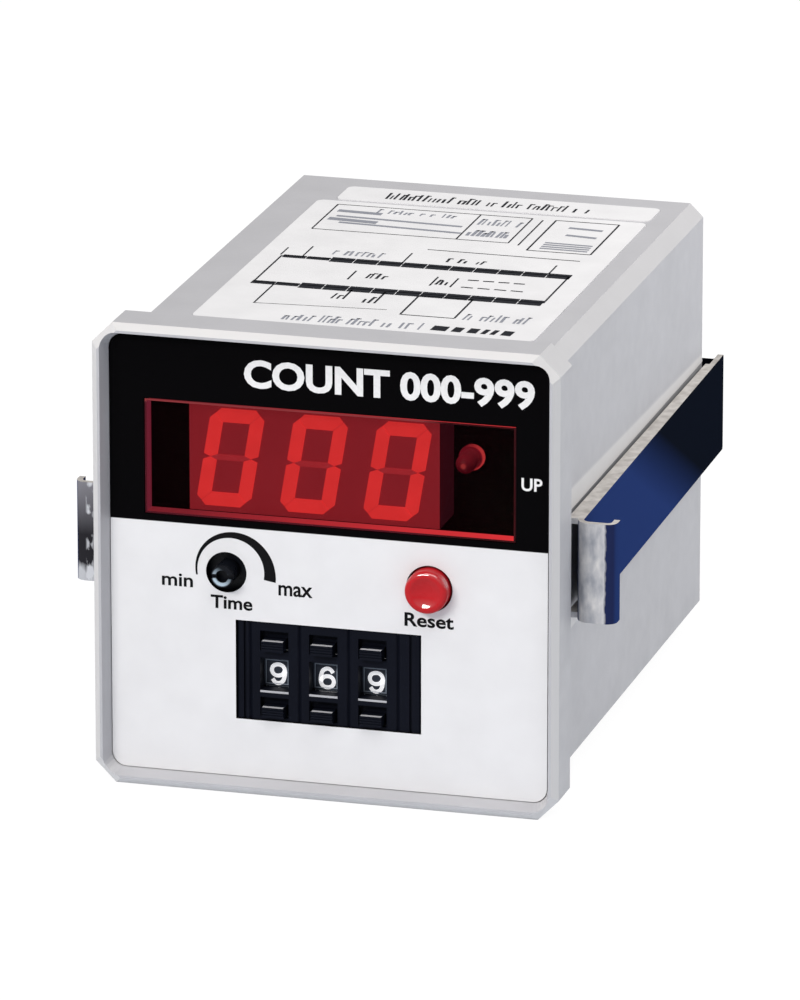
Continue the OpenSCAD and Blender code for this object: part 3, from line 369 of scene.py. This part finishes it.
made = [
    fascia_film(), red_filter(), display_block(), lamp_epoxy(), blued_clip(), board_mask(), trimmer_shaft(),
    housing_plastic(), button_plastic(), label_film(),
    glowing("segment_lit", "segment_lit", (0.5, 0.02, 0.02), (1.18, 0.050, 0.050), 0.4, **DULL),
    glowing("segment_dim", "segment_dim", (0.3, 0.02, 0.025), (0.56, 0.030, 0.040), 0.4, **DULL),
    moulded("switch_plastic", "switch_black", (0.0052, 0.0062, 0.0110), 0.36, 0.12, **MATT),
    moulded("wheel_plastic", "wheel_black", (0.034, 0.041, 0.058), 0.42, 0.15, **DULL),
    moulded("trimmer_plastic", "trimmer_blue", (0.010, 0.030, 0.17), 0.35),
    moulded("relay_plastic", "relay_blue", (0.012, 0.055, 0.28), 0.32),
    moulded("chip_plastic", "chip_black", (0.010, 0.010, 0.011), 0.55),
    moulded("ribbon_plastic", "ribbon_grey", (0.32, 0.32, 0.34), 0.5),
    moulded("cover_plastic", "cover_black", (0.014, 0.014, 0.016), 0.48, Specular_IOR_Level=0.3),
    moulded("strip_plastic", "strip_black", (0.010, 0.010, 0.011), 0.34, Specular_IOR_Level=0.35),
    moulded("capacitor_sleeve", "capacitor_dark", (0.012, 0.014, 0.028), 0.3),
    moulded("coil_tape", "coil_winding", (0.48, 0.28, 0.04), 0.4),
    plated("core_laminations", "core_steel", (0.12, 0.12, 0.13), 0.5, (0.2, 6, 0.2)),
    plated("zinc_plate", "zinc_steel", (0.62, 0.62, 0.63), 0.32, (1, 1, 1)),
]
finishes = {f.slot: f for f in made}
for part in frame["record"]["subparts"]:
    data = nodes[part["node"]].data
    data.materials.clear()
    data.materials.append(finishes[part["material_slot"]].mat)


def inked(name, slot, colour, glow=0.0):
    """Printing ink with a little unevenness; a glow, where one is given, is painted light."""
    f = Finish(name, slot, Specular_IOR_Level=0.1, Emission_Strength=glow, Emission_Color=(*colour, 1.0))
    f.set("Base Color", f.noise(0.5 * MM, detail=3).mix(tint(colour, 0.9), colour))
    f.set("Roughness", f.noise(0.8 * MM, 0.4, 0.5))
    return f


black_ink = inked("ink_black", "fascia_print", (0.0025, 0.0025, 0.0035))
white_ink = inked("ink_white", "fascia_print", (0.84, 0.83, 0.82))
# The numerals' glow is painted light that keeps them bright in their recess
numeral_ink = inked("ink_numeral", "wheel_black", (0.88, 0.88, 0.90), 0.38)
frame_ink = inked("ink_numeral_frame", "wheel_black", (0.25, 0.29, 0.35))
# Pale ink for the painted highlights on sills and key caps
painted_highlight_ink = inked("ink_painted_highlight", "switch_black", (0.46, 0.46, 0.48))
cover_ink = inked("ink_cover", "cover_black", (0.62, 0.62, 0.60))
label_ink = inked("label_ink", "label_white", (0.008, 0.009, 0.014))
grey_ink = inked("label_ink_grey", "label_white", (0.26, 0.27, 0.31))


# Pieces that ride on the CAD bodies

def piece(name, points, faces, finish, body):
    """A mesh piece from an array of points and a list of faces, riding on a body. Returns its object."""
    mesh = bpy.data.meshes.new(name)
    mesh.from_pydata(np.asarray(points, float).reshape(-1, 3).tolist(), [], faces)
    mesh.update()
    obj = bpy.data.objects.new(name, mesh)
    bpy.context.scene.collection.objects.link(obj)
    mesh.materials.append(finish.mat)
    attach(obj, body)
    return obj


def grid_faces(rows, cols):
    """Quads over a grid of points."""
    index = np.arange(rows * cols).reshape(rows, cols)
    corners = [index[:-1, :-1], index[1:, :-1], index[1:, 1:], index[:-1, 1:]]
    return np.stack(corners, -1).reshape(-1, 4).tolist()


def letters(text, weight):
    """A word in the built-in font as flat points and faces."""
    curve = bpy.data.curves.new("word", "FONT")
    curve.body = text
    curve.offset = weight
    curve.resolution_u = 4
    obj = bpy.data.objects.new("word", curve)
    bpy.context.scene.collection.objects.link(obj)
    mesh = bpy.data.meshes.new_from_object(obj.evaluated_get(bpy.context.evaluated_depsgraph_get()))
    points = np.empty(len(mesh.vertices) * 3)
    mesh.vertices.foreach_get("co", points)
    faces = [list(p.vertices) for p in mesh.polygons]
    bpy.data.objects.remove(obj)
    bpy.data.curves.remove(curve)
    bpy.data.meshes.remove(mesh)
    return points.reshape(-1, 3)[:, :2], faces


def word(name, text, box, place, finish, body, weight=0.0):
    """A word fitted to a box (left, right, low, high) in millimetres, then carried into space."""
    flat, faces = letters(text, weight)
    low, high = flat.min(0), flat.max(0)
    unit = (flat - low) / (high - low)
    left, right, bottom, top = box
    points = place(left + unit[:, 0] * (right - left), bottom + unit[:, 1] * (top - bottom))
    piece(name, points, faces, finish, body)


def box_mm(node):
    """Low and high corners of a node in millimetres."""
    low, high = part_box(node)
    return np.array(low) / MM, np.array(high) / MM


PRINT_LIFT = 0.02
fascia_front = box_mm("fascia_plate")[0][1] - PRINT_LIFT


def on_fascia(u, v):
    """From millimetres across and up to the fascia's front."""
    return np.stack([u, np.full_like(u, fascia_front), v], -1) * MM


def fascia_legends():
    """Words on the fascia: text, box (left, right, low, high), ink and stroke weight."""
    for name, text, box, ink, weight in (
            ("legend_min", "min", (-25.85, -21.0, -4.75, -2.75), black_ink, 0.02),
            ("legend_max", "max", (-7.7, -2.4, -4.9, -3.2), black_ink, 0.02),
            ("legend_time", "Time", (-18.25, -11.75, -7.7, -5.6), black_ink, 0.024),
            ("legend_reset", "Reset", (11.8, 19.4, -7.95, -5.8), black_ink, 0.024),
            ("legend_up", "UP", (29.7, 32.9, 14.5, 16.5), white_ink, 0.02),
            ("legend_range", "COUNT 000-999", (-12.9, 31.7, 26.9, 31.4), white_ink, 0.035)):
        word(name, text, box, on_fascia, ink, "case", weight)


SCALE_STEPS = 61
SCALE_RADIUS = 5.2
SCALE_THIN = 0.28
SCALE_GROWTH = 1.6
SCALE_START = 190
SCALE_SWEEP = 200
SCALE_SHIFT = (0.7, 0.2)


def time_scale():
    """An arc about the trimmer shaft whose thickness grows from min to max."""
    low, high = box_mm("time_knob")
    centre_x, centre_z = (low[0] + high[0]) / 2 + SCALE_SHIFT[0], (low[2] + high[2]) / 2 + SCALE_SHIFT[1]
    share = np.linspace(0.0, 1.0, SCALE_STEPS)
    angle = np.radians(SCALE_START - SCALE_SWEEP * share)[:, None]
    thick = SCALE_THIN + SCALE_GROWTH * share ** 1.3
    radius = SCALE_RADIUS + np.stack([thick, np.zeros(SCALE_STEPS)], -1)
    across, up = radius * np.cos(angle), radius * np.sin(angle)
    points = on_fascia((centre_x + across).ravel(), (centre_z + up).ravel())
    piece("time_scale", points, grid_faces(SCALE_STEPS, 2), black_ink, "case")


DECADES = (1, 2, 3)
SHOWN = (9, 6, 9)
FLATS = 10
STROKE = 0.62
STROKE_STEPS = 6
FLAT_MIDDLE = 2.05
NUMERAL_SHIFT = 0.2
NUMERAL_HALF = 1.36
ONE_HALF = 0.8
NUMERAL_LOW = -2.05
NUMERAL_HIGH = 1.5
FRAME_OUTER = (1.78, 1.92)
FRAME_INNER = (1.62, 1.76)
# A nine as the path of its stroke in a square from -1 to 1; turned half round it is a six
NINE = np.array([
    (-0.86, -0.58), (-0.45, -0.93), (0.10, -1.0), (0.66, -0.74), (0.94, -0.15), (0.97, 0.40), (0.66, 0.85),
    (0.0, 1.0), (-0.68, 0.84), (-0.97, 0.40), (-0.72, -0.04), (-0.08, -0.20), (0.58, -0.05), (0.95, 0.35)])


def ribbon(path, width):
    """Both edges of a stroke along a path: Catmull-Rom cubics through its points, plus and minus
    half the width across them."""
    ends = np.vstack([2 * path[0] - path[1], path, 2 * path[-1] - path[-2]])
    a, b, c, d = ends[:-3], ends[1:-2], ends[2:-1], ends[3:]
    t = np.linspace(0.0, 1.0, STROKE_STEPS, endpoint=False)[:, None, None]
    curve = b + ((c - a) * t + (2 * a - 5 * b + 4 * c - d) * t ** 2 + (3 * b - a - 3 * c + d) * t ** 3) / 2
    curve = np.vstack([curve.transpose(1, 0, 2).reshape(-1, 2), path[-1:]])
    run = np.gradient(curve, axis=0)
    side = run[:, ::-1] * (-width / 2, width / 2) / np.linalg.norm(run, axis=1, keepdims=True)
    return np.stack([curve + side, curve - side], 1)


def wheel_print(i):
    """Ten numerals on the flats of a number wheel, each in a thin frame."""
    low, high = box_mm(f"digit_wheel_{i}")
    axis_y, axis_z = (low[1] + high[1]) / 2, (low[2] + high[2]) / 2
    flat = (high[1] - low[1]) / 2 + PRINT_LIFT
    middle = low[0] + FLAT_MIDDLE
    centre = (middle + NUMERAL_SHIFT, (NUMERAL_LOW + NUMERAL_HIGH) / 2)

    def on_flat(u, v, angle):
        """From the plane to the flat that is turned by an angle about the wheel's axis."""
        y = axis_y - flat * np.cos(angle) - v * np.sin(angle)
        z = axis_z - flat * np.sin(angle) + v * np.cos(angle)
        return np.stack([u, y, z], -1) * MM

    for k in range(FLATS):
        angle = 2 * math.pi * k / FLATS
        value = (SHOWN[i - 1] + k) % FLATS
        half = ONE_HALF if value == 1 else NUMERAL_HALF
        box = (centre[0] - half, centre[0] + half, NUMERAL_LOW, NUMERAL_HIGH)
        name = f"numeral_{i}_{value}"
        if value in (6, 9):
            reach = (half - STROKE / 2, (NUMERAL_HIGH - NUMERAL_LOW - STROKE) / 2)
            edges = ribbon(NINE * (1 if value == 9 else -1) * reach, STROKE) + centre
            points = on_flat(edges[..., 0], edges[..., 1], angle)
            piece(name, points, grid_faces(len(edges), 2), numeral_ink, f"wheel_{i}")
        else:
            word(name, str(value), box, lambda u, v: on_flat(u, v, angle), numeral_ink, f"wheel_{i}", 0.055)
    corners = np.array([[-1, -1], [1, -1], [1, 1], [-1, 1], [-1, -1]])
    rings = np.stack([corners * FRAME_OUTER, corners * FRAME_INNER])
    angles = 2 * math.pi * np.arange(FLATS)[:, None, None] / FLATS
    spread = np.broadcast_to(rings, (FLATS, 2, 5, 2))
    points = on_flat(middle + spread[..., 0], spread[..., 1], angles)
    ring_points = 2 * len(corners)
    faces = [[a + ring_points * k for a in quad] for k in range(FLATS) for quad in grid_faces(2, 5)]
    piece(f"numeral_frames_{i}", points, faces, frame_ink, f"wheel_{i}")


def filter_edges():
    """The filter's red edges, seen through it: a narrow ring in front and four walls behind it, all glowing
    as painted light.

    A rectangle just inside the filter is carried back through pairs of inset and depth.
    """
    low, high = box_mm("display_window")
    ring_outside, ring_inside, wall = 1.33, 1.60, 1.62
    ring_depth, wall_start, wall_end = 0.03, 0.2, high[1] - low[1] - 0.1
    steps = [(ring_outside, ring_depth), (ring_inside, ring_depth), (wall, wall_start), (wall, wall_end)]
    signs = np.array([[0, 0], [1, 0], [1, 1], [0, 1], [0, 0]])
    rows = []
    for inset, depth in steps:
        near, far = low[[0, 2]] + inset, high[[0, 2]] - inset
        flat = near + signs * (far - near)
        rows.append(np.stack([flat[:, 0], np.full(5, low[1] + depth), flat[:, 1]], -1))
    f = Finish("filter_edge", "window_red", Emission_Strength=1.0, Specular_IOR_Level=0.1)
    # Painted light: side walls lit on the left and in shade on the right, the floor brighter to the right,
    # a painted highlight along the ring's top and the ring in painted shade on the right
    upright = f.x.step(20 * MM, 4 * MM).mix((0.19, 0.018, 0.038), (0.02, 0.003, 0.005))
    floor = f.x.step(5 * MM, 52 * MM).mix((0.24, 0.018, 0.028), (1.05, 0.050, 0.058))
    walls = f.nz.step(0.5, 0.4).mix(upright, floor)
    top = f.z.step(high[2] * MM - 1.8 * MM, 0.2 * MM)
    ring = top.mix((0.06, 0.006, 0.014), (0.32, 0.050, 0.055))
    ring_shown = f.x.step(16 * MM, 4 * MM).mix(ring, (0.010, 0.003, 0.004))
    f.set("Base Color", f.noise(3 * MM).mix((0.05, 0.004, 0.006), (0.08, 0.006, 0.008)))
    f.set("Emission Color", (-f.ny).step(0.5, 0.4).mix(walls, ring_shown))
    f.set("Roughness", f.noise(2 * MM, 0.3, 0.4))
    piece("filter_edges", np.stack(rows) * MM, grid_faces(len(steps), 5), f, "case")


def strip(name, start, end, finish, body):
    """A flat strip between two corners in millimetres, upright where both lie at one depth."""
    (x0, y0, z0), (x1, y1, z1) = start, end
    points = np.array([(x0, y0, z0), (x1, y0, z0), (x1, y1, z1), (x0, y1, z1)])
    piece(name, points * MM, [[0, 1, 2, 3]], finish, body)


WINDOW_SPAN = (0.2, 4.6)
CAP_SPAN = (0.8, 4.0)
CAP_HEIGHT = 1.6
CAP_PAINTED_HIGHLIGHT = (0.05, 0.75)
SILL_DROP = (2.48, 2.15)
SHUTTER_SPAN = (0.25, 4.55)
SHUTTER_RISE = (-0.28, 2.85)
SHUTTER_DEPTH = 1.43


def key_edges():
    """Painted highlights on the sills under the number windows and on the tops of the key caps, and a
    shutter behind each cap.

    Spans are measured from the left side of the number wheel, drops from its axis, shutter rises
    from the cap's lower side and the shutter's depth from the nose.
    """
    for i in DECADES:
        wheel_low, wheel_high = box_mm(f"digit_wheel_{i}")
        nose = box_mm(f"pushwheel_frame_{i}")[0][1] - PRINT_LIFT
        axis = (wheel_low[2] + wheel_high[2]) / 2
        start, end = [(wheel_low[0] + u, nose, axis - v) for u, v in zip(WINDOW_SPAN, SILL_DROP)]
        # Painted highlight along the window's sill
        strip(f"sill_{i}", start, end, painted_highlight_ink, "case")
        for kind in ("plus", "minus"):
            key = f"{kind}_key_{i}"
            low, high = box_mm(key)
            foot = low[2] if kind == "minus" else high[2] - CAP_HEIGHT
            top = foot + CAP_HEIGHT + PRINT_LIFT
            start, end = [(wheel_low[0] + u, low[1] + v, top) for u, v in zip(CAP_SPAN, CAP_PAINTED_HIGHLIGHT)]
            # Painted highlight on the key cap's top face
            strip(f"{key}_edge", start, end, painted_highlight_ink, key)
            behind = nose + SHUTTER_DEPTH
            start, end = [(wheel_low[0] + u, behind, foot + v) for u, v in zip(SHUTTER_SPAN, SHUTTER_RISE)]
            strip(f"{key}_shutter", start, end, finishes["switch_black"], key)


POINTS_ROUND = 96
DISH_STEPS = 15
ROUND_STEPS = 25
CAP_RADIUS = 3.3
CAP_ROUND = 0.75
CAP_NECK = 4.0
COLLAR_DEPTH = 1.0
DISH_SLOPE = math.radians(28)
NECK_LEAD = 0.05


def dished_cap():
    """The reset button with a finger dish in its front: a profile turned about the button's axis.

    The dish is a circular arc that rises from the axis to the dish's slope. There it runs into the
    round edge, an arc about a centre one round inside the radius, with the same slope. The side, the
    collar and the stub behind follow the solid.
    """
    low, high = box_mm("reset_button")
    stub_low, stub_high = box_mm("reset_plunger")
    centre = (low + high) / 2
    collar, stub = (high[0] - low[0]) / 2, (stub_high[0] - stub_low[0]) / 2
    front, neck = low[1], low[1] + CAP_NECK
    round_centre = CAP_RADIUS - CAP_ROUND
    dish_radius = round_centre / math.sin(DISH_SLOPE) - CAP_ROUND
    rise = np.linspace(0.0, DISH_SLOPE, DISH_STEPS)[:-1]
    turn = np.linspace(-DISH_SLOPE, math.pi / 2, ROUND_STEPS)
    joint = front + CAP_ROUND * (1 - math.cos(DISH_SLOPE))
    dish = np.stack([dish_radius * np.sin(rise),
                     joint + dish_radius * (np.cos(rise) - math.cos(DISH_SLOPE))], -1)
    edge = np.stack([round_centre + CAP_ROUND * np.sin(turn), front + CAP_ROUND * (1 - np.cos(turn))], -1)
    behind = [(CAP_RADIUS, neck - NECK_LEAD), (CAP_RADIUS, neck), (collar, neck),
              (collar, neck + COLLAR_DEPTH), (stub, neck + COLLAR_DEPTH), (stub, high[1])]
    radius, depth = np.vstack([dish[1:], edge, behind]).T[..., None]
    angle = np.linspace(0.0, 2 * math.pi, POINTS_ROUND, endpoint=False)
    across, up = radius * np.cos(angle), radius * np.sin(angle)
    along = np.broadcast_to(depth, across.shape)
    rings = np.stack([centre[0] + across, along, centre[2] + up], -1).reshape(-1, 3)
    poles = [(centre[0], dish[0, 1], centre[2]), (centre[0], high[1], centre[2])]
    # The grid's last column falls on its first, and a fan of triangles closes each pole
    row, column = np.divmod(np.array(grid_faces(len(radius), POINTS_ROUND + 1)), POINTS_ROUND + 1)
    faces = (row * POINTS_ROUND + column % POINTS_ROUND).tolist()
    front_pole, rear_pole, last = len(rings), len(rings) + 1, len(rings) - POINTS_ROUND
    for k in range(POINTS_ROUND):
        following = (k + 1) % POINTS_ROUND
        faces.append([front_pole, k, following])
        faces.append([rear_pole, last + following, last + k])
    cap = piece("reset_cap", np.vstack([rings, poles]) * MM, faces, finishes["button_red"], "reset_button")
    cap.data.shade_smooth()
    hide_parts("reset_button")


def strokes(name, lines, finish):
    """Flat strokes from rows of (x0, y0, x1, y1, width) in millimetres on the top labels."""
    level = box_mm("top_label")[1][2] + PRINT_LIFT
    rows = np.asarray(lines, float)
    start, end, width = rows[:, 0:2], rows[:, 2:4], rows[:, 4:5]
    run = end - start
    side = np.stack([-run[:, 1], run[:, 0]], -1) / np.linalg.norm(run, axis=1, keepdims=True) * width / 2
    flat = np.stack([start - side, end - side, end + side, start + side], 1)
    points = np.concatenate([flat, np.full((*flat.shape[:2], 1), level)], -1) * MM
    piece(name, points, np.arange(len(rows) * 4).reshape(-1, 4).tolist(), finish, "case")


def box_lines(x0, y0, x1, y1, width):
    """The four sides of a box."""
    corners = ((x0, y0), (x1, y0), (x1, y1), (x0, y1))
    return [(*corners[k - 1], *corners[k], width) for k in range(4)]


def greek(x0, x1, y, height, seed, thick=0.35):
    """A row of unreadable marks: strokes of seeded widths and heights with word gaps."""
    rng = np.random.default_rng(seed)
    marks, x = [], x0
    while x < x1:
        h = height * rng.choice([0.6, 0.6, 0.85, 1.0])
        marks.append((x, y, x + rng.uniform(-0.1, 0.2), y + h, thick * rng.uniform(0.7, 1.3)))
        if rng.random() < 0.5:
            marks.append((x, y + h * 0.92, x + 0.6, y + h * 0.92, thick * 1.2))
        x += rng.uniform(0.6, 0.95) + (1.0 if rng.random() < 0.16 else 0.0)
    return marks


def label_print():
    """Wiring diagram and tables on the top labels, kept to bars, boxes, dashes and greeked rows."""
    # Two bars of twelve cells, thinner over the first two, and a row of short blocks
    bars, cells = [], 12
    for y, x0, x1, thick in ((43.4, -21.2, 24.4, 2.6), (28.2, -21.7, 24.0, 2.9)):
        cuts = np.linspace(x0, x1, cells + 1)
        for k in range(cells):
            bars.append((cuts[k] + 0.15, y, cuts[k + 1], y, thick * (0.6 if k < 2 else 1.0)))
    for x0, x1 in ((11.6, 14.0), (14.8, 16.3), (17.2, 18.7), (19.4, 20.2), (20.8, 21.6), (22.4, 24.0)):
        bars.append((x0, 11.0, x1, 10.9, 2.5))
    # Boxes, ticks, rules and dashes of the wiring diagram and its tables
    lines = box_lines(-21.3, 28.4, 24.1, 43.6, 0.3) + box_lines(5.0, 16.7, 13.4, 27.4, 0.32)
    lines += box_lines(14.0, 56.5, 24.1, 74.4, 0.3) + box_lines(-21.2, 59.7, 10.2, 74.5, 0.26)
    ticks = ((-21.6, 48.2), (-18.1, 49.8), (-2.4, 50.1), (20.7, 49.3))
    lines += [(x, 44.0, x, top, 0.26) for x, top in ticks]
    lines += [(x, 33.2, x, 38.2, 0.3) for x in (-7.9, 5.0, 8.2)]
    lines += [(12.0, 58.8, 12.0, 73.9, 0.26), (1.9, 59.7, 1.9, 74.5, 0.26), (-0.7, 52.8, 23.5, 52.5, 0.3)]
    lines += [(-17.9, 28.0, -17.9, 16.9, 0.28), (-17.9, 17.0, 2.4, 18.6, 0.18)]
    lines += [(-5.6, 27.8, -5.6, 22.5, 0.35), (-0.4, 27.8, -0.4, 21.5, 0.35)]
    lines += [(x, 37.7, x + 1.7, 37.8, 0.5) for x in np.arange(9.8, 18, 2.4)]
    lines += [(x, 33.7, x + 1.9, 33.6, 0.45) for x in np.arange(9.8, 19.8, 2.6)]
    # Rows of marks in black, then marks and rules in grey
    dark = greek(-14.9, 18.0, 79.6, 3.6, 3, 0.34) + greek(-5.4, -2.2, 34.6, 3.0, 5)
    dark += greek(5.7, 7.7, 34.0, 2.8, 7) + greek(-7.4, -5.9, 22.4, 3.4, 8)
    dark += greek(-2.2, -0.6, 21.4, 3.4, 9) + greek(4.0, 10.0, 46.6, 2.2, 10)
    grey = greek(-11.3, 9.8, 9.4, 3.6, 11, 0.4) + greek(14.8, 24.9, 16.4, 3.8, 12, 0.4)
    grey += greek(2.9, 9.4, 68.8, 3.4, 13) + greek(2.9, 9.4, 62.2, 3.4, 14, 0.5)
    grey += greek(-14.0, -2.0, 71.2, 2.2, 15) + greek(-14.0, -6.0, 46.2, 2.6, 16)
    grey += [(17.0, 70.7, 22.5, 70.2, 0.9), (17.6, 66.5, 22.6, 65.9, 0.9)]
    grey += [(15.6, y, 23.2, y - 0.2, 0.6) for y in (58.2, 59.3, 60.4, 61.5)]
    grey += [(-20.2, 71.0, -13.0, 70.6, 1.3), (-19.6, 68.0, 0.9, 66.9, 0.8)]
    grey += [(-18.2, 64.4, 1.7, 63.2, 0.8), (-20.4, 66.2, -12.4, 65.6, 1.5)]
    strokes("label_bars", bars, label_ink)
    strokes("label_lines", lines + dark, label_ink)
    strokes("label_greys", grey, grey_ink)


TERMINALS = 12
TERMINAL_PITCH = 9.0
NUMBER_ROW = 7.4
NUMBER_HALF = 1.1


def terminal_numbers():
    """Terminal numbers on the rear cover, read from behind."""
    level = box_mm("rear_cover")[1][1] + PRINT_LIFT

    def on_cover(u, v):
        """From the plane to the cover's rear, turned round so that it reads from behind."""
        return np.stack([-u, np.full_like(u, level), v], -1) * MM

    in_row = TERMINALS // 2
    for k in range(TERMINALS):
        u = (k % in_row - (in_row - 1) / 2) * TERMINAL_PITCH
        v = NUMBER_ROW if k < in_row else -NUMBER_ROW
        # A one is narrow, and ten and up have two figures
        half = 0.5 if k == 0 else (0.8 if k < 9 else 1.35)
        box = (u - half, u + half, v - NUMBER_HALF, v + NUMBER_HALF)
        word(f"terminal_number_{k + 1}", str(k + 1), box, on_cover, cover_ink, "case", 0.01)


fascia_legends()
time_scale()
for i in DECADES:
    wheel_print(i)
filter_edges()
key_edges()
dished_cap()
label_print()
terminal_numbers()


# Floor, light and camera

def stage_floor():
    """A flat sheet under the bezel's lower edge, white to the camera and in reflections, with a faint
    shadow. The light that it throws back on the case is a little blue."""
    half = 4.0
    u = np.linspace(-half, half, 3)
    gx, gy = np.meshgrid(u, u, indexing="ij")
    points = np.stack([gx, gy, np.full_like(gx, cad_box[0][2])], -1)
    mesh = bpy.data.meshes.new("floor")
    mesh.from_pydata(points.reshape(-1, 3).tolist(), [], grid_faces(3, 3))
    obj = bpy.data.objects.new("floor", mesh)
    bpy.context.scene.collection.objects.link(obj)
    mat = bpy.data.materials.new("floor_paper")
    mat.use_nodes = True
    mat.node_tree.nodes.clear()
    root = Wire(mat.node_tree)
    paper = root.node("ShaderNodeBsdfDiffuse", {}, {"Color": (0.66, 0.71, 0.79, 1)})
    shade = root.node("ShaderNodeBsdfDiffuse", {}, {"Color": (0.10, 0.10, 0.10, 1)})
    white = root.node("ShaderNodeEmission", {}, {"Color": (1, 1, 1, 1), "Strength": 0.94})
    seen = root.node("ShaderNodeAddShader", {}, {0: shade, 1: white})
    kinds = root.node("ShaderNodeLightPath").socket.node.outputs
    camera_ray, glossy_ray, transmission_ray = [
        Wire(mat.node_tree, kinds[f"Is {kind} Ray"]) for kind in ("Camera", "Glossy", "Transmission")]
    sight = (camera_ray + glossy_ray).math("ADD", transmission_ray, clamp=True)
    both = root.node("ShaderNodeMixShader", {}, {0: sight, 1: paper, 2: seen})
    root.node("ShaderNodeOutputMaterial", {}, {0: both})
    mesh.materials.append(mat)


def aim(obj, place, forward):
    """Puts a light or camera at a place, looking along a direction with Z up."""
    forward = np.asarray(forward, float) / np.linalg.norm(forward)
    right = np.cross(forward, (0, 0, 1.0))
    right /= np.linalg.norm(right)
    matrix = np.eye(4)
    matrix[:3, 0], matrix[:3, 1], matrix[:3, 2] = right, np.cross(right, forward), -forward
    matrix[:3, 3] = place
    obj.matrix_world = matrix.T.tolist()


CASE_MIDDLE = np.array((0.0, 0.03, 0.0))


def softbox(name, place, width, height, watts, colour=(1.0, 1.0, 1.0)):
    """A rectangular area light aimed at the middle of the case."""
    data = bpy.data.lights.new(name, "AREA")
    data.shape = "RECTANGLE"
    data.size, data.size_y = width, height
    data.energy = watts
    data.color = colour
    obj = bpy.data.objects.new(name, data)
    bpy.context.scene.collection.objects.link(obj)
    aim(obj, place, CASE_MIDDLE - place)


def studio():
    """Warm soft light from the upper left, a close box beside the right side and one overhead."""
    warm, faint_warm = (1.0, 0.975, 0.955), (1.0, 0.985, 0.97)
    softbox("key_light", (-0.55, -1.25, 0.85), width=0.9, height=0.25, watts=15.3, colour=warm)
    softbox("side_light", (0.22, 0.20, 0.19), width=0.16, height=0.16, watts=0.49, colour=faint_warm)
    softbox("top_light", (0.12, -0.35, 0.95), width=0.9, height=0.5, watts=5.0)
    world = bpy.data.worlds.new("studio")
    bpy.context.scene.world = world
    world.use_nodes = True
    sky = world.node_tree.nodes["Background"]
    sky.inputs["Color"].default_value = (1.0, 1.0, 1.0, 1)
    sky.inputs["Strength"].default_value = 0.33


def camera():
    """Looks at the bezel's front centre from the right and above, with the photograph's framing."""
    azimuth, elevation = math.radians(15.65), math.radians(17.02)
    distance, aside, raised = 1398, 11.37, 10.86
    level = math.cos(elevation)
    forward = np.array([-math.sin(azimuth) * level, math.cos(azimuth) * level, -math.sin(elevation)])
    right = np.array([math.cos(azimuth), math.sin(azimuth), 0.0])
    up = np.cross(right, forward)
    front = np.array([0.0, cad_box[0][1] / MM, 0.0])
    data = bpy.data.cameras.new("camera")
    data.sensor_fit = "VERTICAL"
    data.sensor_height = 36.0
    data.lens = 339.1
    data.clip_start, data.clip_end = 0.05, 30.0
    obj = bpy.data.objects.new("camera", data)
    bpy.context.scene.collection.objects.link(obj)
    aim(obj, (front + aside * right + raised * up - distance * forward) * MM, forward)
    bpy.context.scene.camera = obj


stage_floor()
studio()
camera()
bpy.context.scene.view_settings.view_transform = "Standard"
